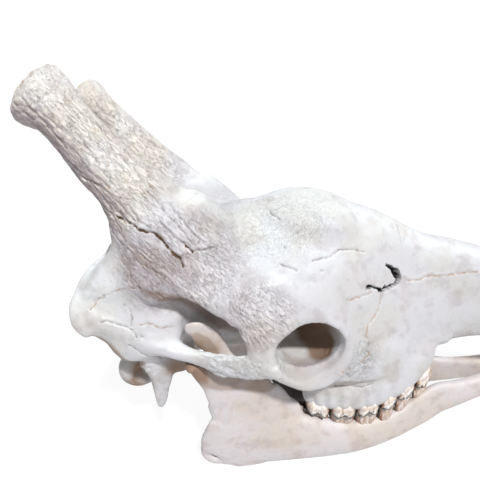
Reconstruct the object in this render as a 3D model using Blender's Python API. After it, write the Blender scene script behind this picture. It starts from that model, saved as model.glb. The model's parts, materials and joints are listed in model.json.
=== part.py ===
"""Skull of an adult bull giraffe, life size, resting on its lower jaw.

Run it with blender --background --python part.py, or from the text editor.

Axes: +X to the muzzle, +Y to the animal's left, +Z up, floor at z = 0. The shapes are written in
millimetres from the skull's own datum: x forward from behind the occiput, z up from the level of the
molars' roots. ORIGIN carries them to the model's frame, where the box's middle is at x = y = 0.
A bone is one or more lofts: rings swept through a few stations and blended by a voxel remesh.
Every paired shape is written for the animal's right side and mirrored for the left.
"""

import math

import bmesh
import bpy
import numpy as np

MM = 0.001
FLOOR = -81.0
ORIGIN = np.array([-327.7, 0.0, -FLOOR])
JOINT_GAP = 0.36

VOXEL = 3.0
SMOOTH_PASSES = 4
CRANIUM_TRIANGLES = 5500
OSSICONE_TRIANGLES = 600
JAW_TRIANGLES = 1900

# Cheek teeth, from the last molar forward: where each crown ends, along x
TOOTH_EDGES = [277.0, 308.0, 341.0, 372.0, 395.0, 421.0, 444.0]
TOOTH_LOBES = [2, 2, 2, 1, 1, 1]
MOLAR_WIDTH = 27.0
PREMOLAR_WIDTH = 21.0
UPPER_CHEEK = [(277, 73), (308, 78), (341, 78), (372, 73), (395, 66), (422, 54), (446, 46)]
UPPER_SOCKET = [(277, 12), (308, 9), (341, 8), (372, 10), (395, 16), (422, 26), (446, 37)]
BITE_LINE = [(277, -8), (308, -13), (341, -14), (372, -12), (395, -4), (422, 3), (446, 14)]
LOWER_SOCKET = [(277, -19), (308, -28), (341, -32), (372, -33), (395, -28), (422, -19), (446, -9)]
# Third lobe of the last lower molar: middle, half length, half width
THIRD_LOBE, THIRD_LENGTH, THIRD_WIDTH = (270.0, -56.0), 6.0, 7.0
TOOTH_SLACK = 0.5
BITE_GAP = 1.5

# The plane that parts the ossicones from the roof: a point on it, and its rise to the front in degrees
FOOT_POINT = (118.0, 0.0, 264.0)
FOOT_SLOPE = 24.0
# Where the surface round the feet is eased into the frontal
FOOT_CENTRE = (138.0, 50.0, 236.0)
FOOT_RADIUS = 95.0
FOOT_PASSES = 40
# How much shorter the left ossicone is than the right one
LEFT_SHORT = 12.0
# The nasals: where they start behind, and the level of their long suture with the maxillae
NASAL_BACK = 402.0
NASAL_SUTURE = 157.0

BONE = (0.83, 0.81, 0.79)
HORN_BONE = (0.78, 0.75, 0.72)


def curve(rows, steps):
    """Catmull-Rom curve through every row, with `steps` points to a span."""
    p = np.asarray(rows, float)
    p = np.vstack([2 * p[0] - p[1], p, 2 * p[-1] - p[-2]])
    t = np.arange(steps)[:, None] / steps
    spans = []
    for a, b, c, d in zip(p, p[1:], p[2:], p[3:]):
        bend = 2 * a - 5 * b + 4 * c - d
        spans.append(0.5 * (2 * b + (c - a) * t + bend * t**2 + (3 * b - a - 3 * c + d) * t**3))
    return np.vstack(spans + [p[-2][None]])


def loft(rings):
    """Closed mesh through rings of equal count, with a pole at each end, facing outward."""
    count, sides, _ = rings.shape
    verts = np.vstack([rings.reshape(-1, 3), rings[0].mean(0), rings[-1].mean(0)])
    j = np.arange(sides)
    k = (j + 1) % sides
    rows = np.arange(count - 1)[:, None] * sides
    quads = np.stack([rows + j, rows + k, rows + sides + k, rows + sides + j], -1).reshape(-1, 4)
    last = (count - 1) * sides
    start = np.stack([k, j, np.full(sides, count * sides)], -1)
    end = np.stack([last + j, last + k, np.full(sides, count * sides + 1)], -1)
    faces = quads.tolist() + start.tolist() + end.tolist()
    a, b, c, d = (verts[quads[:, i]] for i in range(4))
    middle = verts.mean(0)
    outward = np.einsum("ij,ij->i", np.cross(c - a, d - b), (a + b + c + d) / 4 - middle).sum()
    if outward < 0:
        faces = [face[::-1] for face in faces]
    return verts, faces


def superellipse(sides, power):
    """Unit outline whose corners fill out as the power rises above 2."""
    angle = np.arange(sides) / sides * 2 * math.pi
    across, along = np.cos(angle), np.sin(angle)
    return np.sign(across) * np.abs(across) ** (2 / power), np.sign(along) * np.abs(along) ** (2 / power)


def tube(rows, up=(0, 0, 1), sides=20, steps=4, power=2.0, ends=(1.0, 1.0), grow=0.0):
    """Tube through stations (x, y, z, half width across `up`, half width along `up`), with domed ends."""
    r = curve(rows, steps)
    half = np.maximum(r[:, 3:5], 1.0) + grow
    centre = r[:, :3]
    heading = np.gradient(centre, axis=0)
    heading /= np.linalg.norm(heading, axis=1)[:, None]
    across = np.cross(heading, np.asarray(up, float))
    across /= np.linalg.norm(across, axis=1)[:, None]
    along = np.cross(across, heading)
    cu, cv = superellipse(sides, power)

    def ring(i, shift, scale):
        wide = across[i] * (cu * half[i, 0] * scale)[:, None]
        high = along[i] * (cv * half[i, 1] * scale)[:, None]
        return centre[i] + heading[i] * shift + wide + high

    dome = [min(half[0]) * ends[0] + grow, min(half[-1]) * ends[1] + grow]
    first = [ring(0, -q * dome[0], math.sqrt(1 - q * q)) for q in (0.87, 0.5) if ends[0] > 0]
    last = [ring(-1, q * dome[1], math.sqrt(1 - q * q)) for q in (0.5, 0.87) if ends[1] > 0]
    return loft(np.array(first + [ring(i, 0, 1) for i in range(len(r))] + last))


def trunk(rows, sides=40, steps=4):
    """Symmetric body along x through stations (x, half width, top, widest level, bottom, power above, below)."""
    rings = []
    for x, width, top, middle, bottom, above, below in curve(rows, steps):
        upper = superellipse(sides, above)
        lower = superellipse(sides, below)
        high = upper[1] >= 0
        y = np.where(high, upper[0], lower[0]) * width
        z = middle + np.where(high, upper[1] * (top - middle), lower[1] * (middle - bottom))
        rings.append(np.stack([np.full(sides, x), y, z], -1))
    return loft(np.array(rings))


def ball(centre, radii, pitch=0.0, sides=20):
    """Ellipsoid, pitched about y by an angle in degrees."""
    lat = np.linspace(0, math.pi, sides // 2 + 1)[1:-1, None]
    lon = np.arange(sides) / sides * 2 * math.pi
    unit = np.stack([np.sin(lat) * np.cos(lon), np.sin(lat) * np.sin(lon), np.cos(lat) + 0 * lon], -1)
    verts, faces = loft(unit * radii)
    c, s = math.cos(math.radians(pitch)), math.sin(math.radians(pitch))
    return verts @ np.array([[c, 0, s], [0, 1, 0], [-s, 0, c]]).T + np.asarray(centre, float), faces


def box(low, high):
    """Box between two corners."""
    x0, y0, z0 = low
    x1, y1, z1 = high
    verts = np.array([(x, y, z) for x in (x0, x1) for y in (y0, y1) for z in (z0, z1)], float)
    return verts, [[0, 1, 3, 2], [4, 6, 7, 5], [0, 4, 5, 1], [2, 3, 7, 6], [0, 2, 6, 4], [1, 5, 7, 3]]


def prism(outline, half_width):
    """Four-sided prism across the midline over an outline of (x, z) corners."""
    verts = np.array([(x, side * half_width, z) for side in (-1, 1) for x, z in outline], float)
    return verts, [[0, 1, 2, 3], [7, 6, 5, 4], [0, 4, 5, 1], [1, 5, 6, 2], [2, 6, 7, 3], [3, 7, 4, 0]]


def mirrored(shape):
    """The same shape on the animal's other side."""
    return shape[0] * np.array([1.0, -1.0, 1.0]), [face[::-1] for face in shape[1]]


def both(shapes):
    """Each shape and its mirror image."""
    return [s for shape in shapes for s in (shape, mirrored(shape))]


def level(line, x):
    """Height or width of a line of (x, value) stations at x."""
    return float(np.interp(x, [p[0] for p in line], [p[1] for p in line]))


def object_from(name, shapes):
    """One object that holds every shape, in the model's frame."""
    verts, faces, offset = [], [], 0
    for points, polygons in shapes:
        verts.append((points + ORIGIN) * MM)
        faces += [[i + offset for i in polygon] for polygon in polygons]
        offset += len(points)
    mesh = bpy.data.meshes.new(name)
    mesh.from_pydata(np.vstack(verts).tolist(), [], faces)
    obj = bpy.data.objects.new(name, mesh)
    bpy.context.scene.collection.objects.link(obj)
    return obj


def applied(obj):
    """The object with its modifiers worked into its mesh."""
    shaped = obj.evaluated_get(bpy.context.evaluated_depsgraph_get())
    mesh = bpy.data.meshes.new_from_object(shaped)
    obj.modifiers.clear()
    obj.data = mesh
    return obj


def combined(obj, shapes, operation):
    """Boolean of the object with all the shapes, which must each be closed."""
    pieces = bpy.data.collections.new("pieces")
    bpy.context.scene.collection.children.link(pieces)
    for shape in shapes:
        piece = object_from("piece", [shape])
        bpy.context.scene.collection.objects.unlink(piece)
        pieces.objects.link(piece)
    boolean = obj.modifiers.new("Boolean", "BOOLEAN")
    boolean.operation = operation
    boolean.operand_type = "COLLECTION"
    boolean.collection = pieces
    boolean.solver = "MANIFOLD"
    applied(obj)
    for piece in list(pieces.objects):
        bpy.data.objects.remove(piece)
    bpy.data.collections.remove(pieces)
    return obj


def blended(obj, passes=SMOOTH_PASSES):
    """Voxel remesh that joins overlapping shapes, with the seams smoothed."""
    remesh = obj.modifiers.new("Remesh", "REMESH")
    remesh.mode = "VOXEL"
    remesh.voxel_size = VOXEL * MM
    smooth = obj.modifiers.new("Smooth", "SMOOTH")
    smooth.factor = 0.5
    smooth.iterations = passes
    return applied(obj)


def eased(obj, centre, radius, passes):
    """Smooths the surface more strongly round a point, fading out at the radius."""
    group = obj.vertex_groups.new(name="eased")
    middle = (np.array(centre) + ORIGIN) * MM
    for vert in obj.data.vertices:
        away = math.dist((vert.co.x, abs(vert.co.y), vert.co.z), middle) / (radius * MM)
        group.add([vert.index], max(0.0, min(1.0, 2 - 2 * away)), "REPLACE")
    smooth = obj.modifiers.new("Ease", "SMOOTH")
    smooth.vertex_group = group.name
    smooth.factor = 0.5
    smooth.iterations = passes
    applied(obj)
    obj.vertex_groups.clear()
    return obj


def thinned(obj, triangles):
    """The same surface with about the given number of triangles."""
    obj.data.calc_loop_triangles()
    decimate = obj.modifiers.new("Decimate", "DECIMATE")
    decimate.ratio = min(1.0, triangles / len(obj.data.loop_triangles))
    decimate.use_collapse_triangulate = True
    return applied(obj)


def islands(bm):
    """Connected face groups of a bmesh, largest box first."""
    seen, groups = set(), []
    for face in bm.faces:
        if face in seen:
            continue
        group, stack = [], [face]
        seen.add(face)
        while stack:
            current = stack.pop()
            group.append(current)
            for edge in current.edges:
                for other in edge.link_faces:
                    if other not in seen:
                        seen.add(other)
                        stack.append(other)
        groups.append(group)
    return sorted(groups, key=len, reverse=True)


def largest(obj):
    """The object with only its largest closed surface."""
    bm = bmesh.new()
    bm.from_mesh(obj.data)
    for group in islands(bm)[1:]:
        bmesh.ops.delete(bm, geom=group, context="FACES")
    bm.to_mesh(obj.data)
    bm.free()
    return obj


def finished(obj, name, colour, roughness):
    """Names the piece and gives it its material and smooth shading."""
    obj.name = name
    obj.data.name = name
    material = bpy.data.materials.new(name)
    material.use_nodes = True
    shader = material.node_tree.nodes["Principled BSDF"]
    shader.inputs["Base Color"].default_value = (*colour, 1.0)
    shader.inputs["Roughness"].default_value = roughness
    shader.inputs["Metallic"].default_value = 0.0
    obj.data.materials.clear()
    obj.data.materials.append(material)
    obj.data.shade_smooth()
    return obj


def braincase_and_face():
    """The long core from the occiput to the nasal tips, the frontal roof over it and the median dome."""
    core = trunk([
        (44, 46, 188, 140, 92, 2.4, 2.4),
        (70, 58, 206, 145, 80, 2.4, 2.4),
        (110, 62, 226, 150, 74, 2.4, 2.4),
        (150, 58, 240, 150, 76, 2.3, 2.3),
        (190, 50, 250, 150, 78, 2.2, 2.2),
        (230, 42, 256, 150, 66, 2.1, 2.2),
        (270, 42, 258, 140, 36, 2.0, 2.6),
        (310, 60, 255, 125, 34, 1.8, 2.6),
        (345, 66, 249, 105, 29, 1.6, 2.8),
        (380, 61, 235, 92, 28, 1.6, 2.8),
        (410, 53, 217, 88, 31, 1.7, 2.8),
        (440, 42, 201, 98, 43, 2.0, 2.8),
        (470, 35, 191, 112, 52, 2.3, 3.2),
        (500, 32, 181, 114, 55, 2.4, 3.2),
        (524, 30, 172, 110, 54, 2.4, 3.2),
        (544, 28, 162, 104, 55, 2.4, 3.0),
        (556, 27, 154, 100, 56, 2.4, 3.0),
        (574, 25, 132, 88, 54, 2.4, 3.0),
    ])
    roof = trunk([
        (48, 66, 190, 168, 152, 2.2, 2.0),
        (66, 78, 206, 186, 168, 2.0, 2.0),
        (91, 87, 226, 196, 178, 1.9, 2.0),
        (125, 94, 240, 193, 176, 1.8, 2.0),
        (157, 100, 246, 182, 166, 1.7, 2.0),
        (182, 106, 250, 167, 152, 1.6, 2.0),
        (205, 112, 261, 156, 144, 1.55, 2.0),
        (232, 116, 264, 154, 146, 1.5, 2.2),
        (260, 113, 265, 155, 146, 1.5, 2.2),
        (289, 108, 264, 155, 144, 1.5, 2.2),
        (312, 99, 260, 149, 132, 1.5, 2.0),
        (335, 84, 254, 142, 120, 1.6, 2.0),
        (360, 68, 245, 138, 112, 1.7, 2.0),
        (390, 48, 230, 148, 112, 1.8, 2.0),
        (420, 34, 209, 160, 120, 2.0, 2.0),
    ], sides=48)
    dome = ball((286, 0, 212), (84, 66, 59), pitch=5)
    return [core, roof, dome]


def ossicone(short=0.0):
    """Right ossicone: a thick shaft leaning back to a blunt knob, its foot spread over the frontal.

    `short` draws the knob down along the shaft and slims it.
    """
    rows = np.array([
        (150, -44, 196, 54, 78),
        (140, -46, 222, 50, 76),
        (128, -49, 246, 45, 67),
        (117, -51, 264, 40, 55),
        (109, -53, 282, 34, 44),
        (99, -55, 299, 31, 37),
        (90, -57, 312, 28.5, 32.5),
        (74, -58, 334, 26.5, 30),
        (58, -58, 362, 26, 27.5),
        (43.5, -58, 383, 26.5, 27.5),
        (38, -57, 392, 29, 29.5),
        (31, -57, 400, 31.5, 32),
        (26, -57, 405, 31.5, 32.5),
    ], float)
    share = np.clip((rows[:, 2] - 330) / 70, 0, 1) * short
    rows[:, 0] -= 0.1 * share
    rows[:, 2] -= 0.55 * share
    rows[:, 3] -= 0.35 * share
    rows[:, 4] -= 0.5 * share
    return tube(rows, up=(1, 0, 0.7), sides=24, steps=3, ends=(0.3, 0.38))


def occiput():
    """Nuchal plate, condyles, paroccipital processes, bullae and the base of the braincase."""
    plate = tube([
        (70, 0, 206, 20, 12),
        (46, 0, 192, 50, 18),
        (34, 0, 177, 68, 20),
        (30, 0, 158, 80, 20),
        (35, 0, 141, 84, 18),
        (46, 0, 125, 79, 18),
        (58, 0, 105, 66, 20),
        (68, 0, 84, 50, 22),
    ], up=(1, 0, 0), sides=36, power=2.7, ends=(0.5, 0.6))
    crest = tube([
        (25, -83, 138, 5, 7),
        (16, -82, 152, 6, 7),
        (13, -77, 169, 6, 7),
        (17, -65, 185, 7, 7),
        (27, -42, 198, 8, 7),
        (38, 0, 202, 8, 7),
    ], up=(1, 0, 0), sides=12)
    base = tube([
        (50, 0, 62, 28, 16),
        (90, 0, 64, 26, 15),
        (140, 0, 72, 26, 16),
        (200, 0, 76, 24, 18),
        (262, 0, 66, 18, 18),
    ])
    condyle = ball((52, -36, 51), (19, 19, 27), pitch=-18)
    process = tube([
        (86, -66, 106, 12, 22),
        (91, -64, 80, 11, 16),
        (95, -61, 56, 9, 15.5),
        (91, -59, 33, 7, 11),
        (88, -58, 14, 6, 8),
        (85, -57, 3, 5, 5.5),
    ], up=(1, 0, 0))
    bulla = ball((118, -50, 76), (24, 16, 22))
    saddle = ball((72, -50, 188), (38, 29, 30))
    slope = tube([(28, -56, 186, 22, 12), (50, -55, 204, 23, 13), (78, -54, 225, 25, 16)])
    pterygoid = tube([
        (246, -26, 68, 7, 28),
        (254, -26, 42, 6, 29),
        (262, -26, 16, 5.5, 29),
        (266, -26, -6, 5, 25),
        (270, -26, -20, 4.5, 20),
        (271, -26, -33, 4.5, 17),
    ], up=(1, 0, 0), power=2.4)
    return [plate, base] + both([crest, condyle, process, bulla, saddle, slope, pterygoid])


def cheek():
    """Right side wall: temporal wall, zygomatic arch, postorbital bar, orbit block, jugal and socket ridge."""
    temple = tube([
        (40, -56, 152, 26, 30),
        (66, -56, 154, 24, 40),
        (98, -53, 150, 22, 42),
        (132, -50, 142, 16, 38),
        (165, -48, 134, 12, 32),
    ])
    arch = tube([
        (34, -75, 152, 10, 14),
        (54, -76, 143, 12, 16),
        (76, -77, 131, 14, 16),
        (100, -79, 119, 15, 14),
        (124, -84, 111, 13, 10),
        (144, -92, 107, 9, 9),
        (162, -99, 105, 7, 11),
        (180, -106, 101, 6.5, 16),
        (202, -111, 101, 6.5, 16.5),
        (226, -114, 101, 8, 15),
        (244, -114, 95, 9, 11),
        (260, -111, 82, 9.5, 10),
        (278, -106, 71, 10, 10),
        (296, -100, 70, 10, 10),
        (312, -95, 80, 10.5, 10),
        (322, -90, 99, 11, 12),
        (321, -88, 120, 12, 12),
    ], sides=16)
    bar = tube([
        (226, -98, 178, 12, 40),
        (236, -104, 158, 11, 38),
        (232, -109, 142, 9.5, 27),
        (229, -112, 126, 8.5, 18),
        (228, -113, 110, 8.5, 18),
        (230, -112, 96, 8, 24),
    ], up=(1, 0, 0), sides=16)
    orbit = tube([
        (270, -40, 122, 38, 36),
        (275, -64, 120, 44, 40),
        (280, -88, 118, 47, 41),
        (281, -103, 117, 46, 40),
    ], ends=(0.2, 0.0), sides=28)
    jugal = tube([
        (250, -98, 82, 13, 9),
        (280, -85, 78, 17, 19),
        (316, -75, 74, 18, 25),
        (341, -68, 70, 18.5, 29),
        (370, -58, 64, 17, 29),
        (402, -46, 62, 12, 26),
    ], power=3.0)
    lacrimal = tube([
        (308, -74, 118, 24, 28),
        (335, -64, 108, 22, 38),
        (362, -54, 100, 18, 44),
        (395, -42, 96, 13, 46),
        (430, -33, 98, 9, 44),
        (466, -28, 98, 7, 44),
    ])
    tuberosity = tube([(296, -62, 80, 14, 17), (296, -63, 50, 14, 18), (298, -64, 20, 12, 17)], up=(1, 0, 0), power=2.6)
    sockets = tube([
        (286, -62, 25, 12, 20),
        (309, -65, 21, 13, 22),
        (342, -64, 19, 13.5, 22),
        (372, -60, 21, 13, 22),
        (395, -54, 27, 11.5, 21),
        (417, -47, 36, 10, 17),
        (430, -41, 48, 8.5, 16),
        (438, -35, 66, 7, 13),
    ], power=2.6)
    return both([temple, arch, bar, orbit, jugal, lacrimal, tuberosity, sockets])


def openings():
    """What is hollowed out of the upper skull: orbits, foramen magnum, choana, palate vault and nasal cavity."""
    orbit = tube([
        (270, -36, 114, 22, 20),
        (274, -58, 112, 32, 28),
        (279, -80, 114, 36, 31),
        (281, -98, 118, 37.5, 31),
        (283, -110, 116, 40, 34.5),
        (288, -138, 113, 46, 42),
    ], sides=24)
    foramen = tube([(10, 0, 78, 19, 17), (52, 0, 78, 18, 16), (96, 0, 80, 15, 14)])
    choana = tube([(200, 0, 46, 15, 14), (240, 0, 46, 17, 15), (284, 0, 42, 16, 12)])
    vault = tube([
        (296, 0, 22, 44, 6),
        (340, 0, 25, 47, 9),
        (390, 0, 27, 38, 9),
        (430, 0, 38, 22, 9),
        (460, 0, 54, 12, 8),
    ])
    nose = tube([
        (462, 0, 128, 10, 22),
        (486, 0, 124, 21, 42),
        (520, 0, 116, 21, 46),
        (548, 0, 108, 17, 42),
        (580, 0, 98, 14, 34),
    ], power=2.4)
    notch = prism([(522, 150), (620, 150), (620, 60), (584, 84)], 60)
    return both([orbit]) + [foramen, choana, vault, nose, notch]


def premaxilla(grow=0.0):
    """Right premaxilla: a slim bar that carries the muzzle forward and spreads at its tip."""
    return tube([
        (526, -25, 96, 3, 14),
        (540, -26, 92, 4.5, 24),
        (556, -27, 84, 6, 28),
        (574, -27, 73, 7.5, 25),
        (592, -26, 61, 9, 20),
        (610, -25, 50, 10.5, 15),
        (630, -24, 38, 13.5, 11),
        (645, -22, 30, 14.5, 7.5),
    ], sides=12, steps=2, power=2.3, grow=grow)


def tooth(x, y, half_length, half_width, root, bite):
    """One lobe of a cheek tooth from its root level to its biting edge, a little narrower at both ends."""
    middle = (root + bite) / 2
    return tube([
        (x, y, root, half_width * 0.84, half_length * 0.86),
        (x, y, middle, half_width, half_length),
        (x, y, bite, half_width * 0.84, half_length * 0.94),
    ], up=(1, 0, 0), sides=10, steps=1, power=2.8, ends=(0.0, 0.0))


def tooth_lobes():
    """Middle, half length and width of every lobe of a cheek row: two lobes to a molar, one to a premolar."""
    for back, front, count in zip(TOOTH_EDGES, TOOTH_EDGES[1:], TOOTH_LOBES):
        pitch = (front - back) / count
        for i in range(count):
            yield back + pitch * (i + 0.5), pitch / 2 + 0.4, MOLAR_WIDTH if count == 2 else PREMOLAR_WIDTH


def upper_teeth():
    """Right upper cheek teeth, their roots sunk in the sockets."""
    teeth = []
    for x, half, width in tooth_lobes():
        root = level(UPPER_SOCKET, x) + 12
        teeth.append(tooth(x, width / 2 - level(UPPER_CHEEK, x), half, width / 2, root, level(BITE_LINE, x)))
    return teeth


def jaw_bone():
    """Right half of the lower jaw: body, ramus with its angle, condyle and coronoid blade."""
    body = tube([
        (176, -82, -44, 8.5, 35),
        (205, -80, -41, 9.5, 37),
        (240, -76, -41, 11, 39),
        (270, -71, -47, 14, 35),
        (306, -65, -55, 15, 29),
        (333, -61, -58, 15, 26.5),
        (360, -56, -58, 14, 24.5),
        (385, -51, -55, 12.5, 23),
        (410, -45, -49, 11, 23),
        (440, -37, -38, 9.5, 25),
        (460, -31, -30.5, 9, 25),
        (490, -25, -27.5, 9.5, 19.5),
        (514, -20, -23, 10, 17),
        (545, -15, -16, 13, 14.5),
        (575, -15, -8, 16, 11.5),
        (602, -18, 0, 19, 9),
        (618, -20, 5, 20.5, 7.5),
    ], sides=24, power=2.3, ends=(1.0, 0.6))
    ramus = tube([
        (176, -81, -77, 5, 16),
        (184, -81, -64, 7.5, 44),
        (191, -81, -45, 8, 56),
        (202, -81, -25, 8, 57),
        (209, -81, -8, 7.5, 56.5),
        (207, -81, 10, 7, 52),
        (198, -82, 26, 7, 44),
        (194, -83, 43, 6.5, 41.5),
        (183, -84, 62, 6, 34.5),
        (172, -86, 78, 6, 26),
    ], up=(1, 0.16, 0), sides=24, power=2.8, ends=(0.6, 0.6))
    neck = tube([(166, -86, 62, 7, 17), (155, -86, 78, 8, 13.5), (147, -84, 87, 14, 9)], up=(1, 0, 0), power=2.6)
    condyle = ball((144, -82, 89.5), (9.5, 20, 7))
    coronoid = tube([
        (196, -85, 60, 5.5, 22),
        (186, -83, 80, 5, 17),
        (177, -81, 97, 4.6, 15),
        (171, -80, 111, 4.3, 16),
        (163, -79, 122, 4, 17),
        (152, -78, 131, 3.6, 13),
        (142, -78, 135, 3.2, 7),
    ], up=(1, 0, 0), sides=16)
    heel = tube([
        (238, -70, 15, 6, 9),
        (249, -70, 10, 6.5, 12),
        (257, -69, 0, 7, 14),
        (262, -68, -17, 8, 14),
        (266, -67, -29, 9, 15),
        (268, -67, -41, 9, 14),
    ], up=(1, 0, 0.6))
    return [body, ramus, heel, neck, condyle, coronoid]


def lower_teeth():
    """Right lower cheek teeth, narrower than the upper ones and set inside them, with a third lobe behind."""
    root, bite = LOWER_SOCKET[0][1] - 10, BITE_LINE[0][1] - BITE_GAP
    teeth = [tooth(*THIRD_LOBE, THIRD_LENGTH, THIRD_WIDTH, root, bite)]
    for x, half, width in tooth_lobes():
        root = level(LOWER_SOCKET, x) - 10
        y = 8.5 + width / 3 - level(UPPER_CHEEK, x)
        teeth.append(tooth(x - 1, y, half - TOOTH_SLACK, width / 3, root, level(BITE_LINE, x) - BITE_GAP))
    return teeth


def incisors():
    """Right front teeth: four flat crowns fanned along the edge of the jaw, the outer one the widest."""
    crowns = []
    for i, (y, half) in enumerate([(5.4, 4.9), (15.4, 4.9), (25.2, 4.6), (34.6, 5.4)]):
        fan = math.radians(4 + 10 * i)
        ahead = np.array([math.cos(fan), -math.sin(fan), 0.4])
        root = np.array([626 - 0.012 * y * y, -y, 8.5]) - 16 * ahead
        sizes = ((0, 2.4, 2.6), (12, 3.6, 3.2), (22, half, 2.8), (30, half * 0.95, 1.8))
        rows = [(*(root + run * ahead), wide, thick) for run, wide, thick in sizes]
        crowns.append(tube(rows, sides=8, steps=1, ends=(0.0, 0.4)))
    return crowns


def copy_of(obj):
    """A second object with its own copy of the mesh."""
    twin = bpy.data.objects.new(obj.name, obj.data.copy())
    bpy.context.scene.collection.objects.link(twin)
    return twin


def flipped(obj):
    """A mirrored copy of a right-hand piece, for the animal's left."""
    twin = copy_of(obj)
    bm = bmesh.new()
    bm.from_mesh(twin.data)
    for vert in bm.verts:
        vert.co.y = -vert.co.y
    bmesh.ops.reverse_faces(bm, faces=bm.faces)
    bm.to_mesh(twin.data)
    bm.free()
    return twin


def skull_top():
    """Cranium and both ossicones as one surface."""
    horns = [ossicone(), mirrored(ossicone(LEFT_SHORT))]
    shapes = braincase_and_face() + occiput() + cheek() + horns
    whole = blended(object_from("cranium", shapes), 1)
    combined(whole, openings(), "DIFFERENCE")
    eased(largest(blended(whole)), FOOT_CENTRE, FOOT_RADIUS, FOOT_PASSES)
    return thinned(whole, CRANIUM_TRIANGLES + 2 * OSSICONE_TRIANGLES)


def foot_slab(low, high):
    """Box in the tilted frame of the ossicones' feet, where z = 0 is the plane that parts them."""
    verts, faces = box(low, high)
    c, s = math.cos(math.radians(FOOT_SLOPE)), math.sin(math.radians(FOOT_SLOPE))
    return verts @ np.array([[c, 0, -s], [0, 1, 0], [s, 0, c]]).T + np.array(FOOT_POINT), faces


def cut_ossicone(whole, side):
    """The ossicone of one side (-1 right, 1 left), cut off the skull along the sloping plane at its foot."""
    horn = copy_of(whole)
    combined(horn, [foot_slab((-400, -300, -400), (300, 300, JOINT_GAP / 2))], "DIFFERENCE")
    low, high = (-300, 0) if side > 0 else (0, 300)
    combined(horn, [box((-200, low, 0), (800, high, 800))], "DIFFERENCE")
    return largest(horn)


def right_nasal(whole):
    """The right nasal: the snout's roof above its long suture, cut off ahead of the frontal."""
    nasal = copy_of(whole)
    gap = JOINT_GAP
    behind = box((-200, -300, -200), (NASAL_BACK + gap, 300, 800))
    under = box((-200, -300, -200), (900, 300, NASAL_SUTURE + gap))
    left = box((-200, -gap / 2, -200), (900, 300, 800))
    for cutter in (behind, under, left):
        combined(nasal, [cutter], "DIFFERENCE")
    return largest(nasal)


def cranium_of(whole):
    """The skull below the ossicones, with its teeth, and with beds for the nasals and premaxillae."""
    combined(whole, [foot_slab((-400, -300, -JOINT_GAP / 2), (300, 300, 400))], "DIFFERENCE")
    combined(whole, both(upper_teeth()), "UNION")
    combined(whole, [box((NASAL_BACK, -200, NASAL_SUTURE), (900, 200, 800))], "DIFFERENCE")
    combined(whole, both([premaxilla(JOINT_GAP)]), "DIFFERENCE")
    return largest(whole)


def right_jaw():
    """Right half of the lower jaw with its teeth, flat where it rests and where it meets the other half."""
    jaw = thinned(largest(blended(object_from("jaw", jaw_bone()))), JAW_TRIANGLES)
    combined(jaw, lower_teeth() + incisors(), "UNION")
    floor = box((-200, -300, FLOOR - 60), (900, 300, FLOOR))
    middle = box((-200, -JOINT_GAP / 2, -200), (900, 300, 300))
    combined(jaw, [floor], "DIFFERENCE")
    combined(jaw, [middle], "DIFFERENCE")
    return largest(jaw)


for old in list(bpy.data.objects):
    bpy.data.objects.remove(old)

skull = skull_top()
finished(cut_ossicone(skull, 1), "ossicone_left", HORN_BONE, 0.85)
finished(cut_ossicone(skull, -1), "ossicone_right", HORN_BONE, 0.85)
nasal = right_nasal(skull)
finished(flipped(nasal), "nasal_left", BONE, 0.75)
finished(nasal, "nasal_right", BONE, 0.75)
finished(cranium_of(skull), "cranium", BONE, 0.75)
finished(object_from("premaxilla", [premaxilla()]), "premaxilla_right", BONE, 0.75)
finished(object_from("premaxilla", [mirrored(premaxilla())]), "premaxilla_left", BONE, 0.75)
jaw = right_jaw()
finished(flipped(jaw), "mandible_left", BONE, 0.75)
finished(jaw, "mandible_right", BONE, 0.75)
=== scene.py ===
"""Looks of a giraffe skull with its lower jaw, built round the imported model.

The shapes are written in millimetres from the skull's own datum: x forward from behind the occiput,
y to the animal's left, z up from the level of the molars' roots.
"""

import json
import math
import bmesh
import bpy
import numpy as np
from mathutils import Matrix, Vector
from mathutils.bvhtree import BVHTree

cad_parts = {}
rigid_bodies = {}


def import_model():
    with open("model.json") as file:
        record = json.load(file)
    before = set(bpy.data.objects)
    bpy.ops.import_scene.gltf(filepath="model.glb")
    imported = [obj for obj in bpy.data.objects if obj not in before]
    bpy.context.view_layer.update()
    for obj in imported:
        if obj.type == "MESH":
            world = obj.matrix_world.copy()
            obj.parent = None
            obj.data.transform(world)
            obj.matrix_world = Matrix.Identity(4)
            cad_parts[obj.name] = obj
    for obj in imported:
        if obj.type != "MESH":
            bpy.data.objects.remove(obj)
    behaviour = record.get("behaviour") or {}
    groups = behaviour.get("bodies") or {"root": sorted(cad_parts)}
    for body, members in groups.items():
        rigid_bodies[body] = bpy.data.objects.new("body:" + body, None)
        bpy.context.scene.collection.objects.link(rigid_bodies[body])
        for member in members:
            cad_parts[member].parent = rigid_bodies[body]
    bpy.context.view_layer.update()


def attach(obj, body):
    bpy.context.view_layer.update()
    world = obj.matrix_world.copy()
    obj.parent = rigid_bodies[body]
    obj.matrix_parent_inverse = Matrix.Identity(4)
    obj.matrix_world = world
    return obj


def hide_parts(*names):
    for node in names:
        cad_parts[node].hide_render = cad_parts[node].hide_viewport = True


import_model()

# Camera and studio: a hand-held view from the skull's right, a little above it and close, so the near
# ossicone and the jaw's angle look large. One distant soft lamp stands high on the camera's side, and a pale
# sky fills the shadows.
MM = 0.001
FLOOR = -81.0
DATUM = np.array([-327.7, 0.0, -FLOOR])
VIEW_POINT = (244.3, -476.1, 388.6)
VIEW_YAW, VIEW_DOWN, VIEW_ROLL = 4.2, 20.5, 5.8
FRAME_SIZE = 480
VIEW_FOCAL = 399.5 / FRAME_SIZE


def metres(points):
    """Skull millimetres turned to model metres: (point + datum) / 1000."""
    return (np.asarray(points, float) + DATUM) * MM


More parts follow.
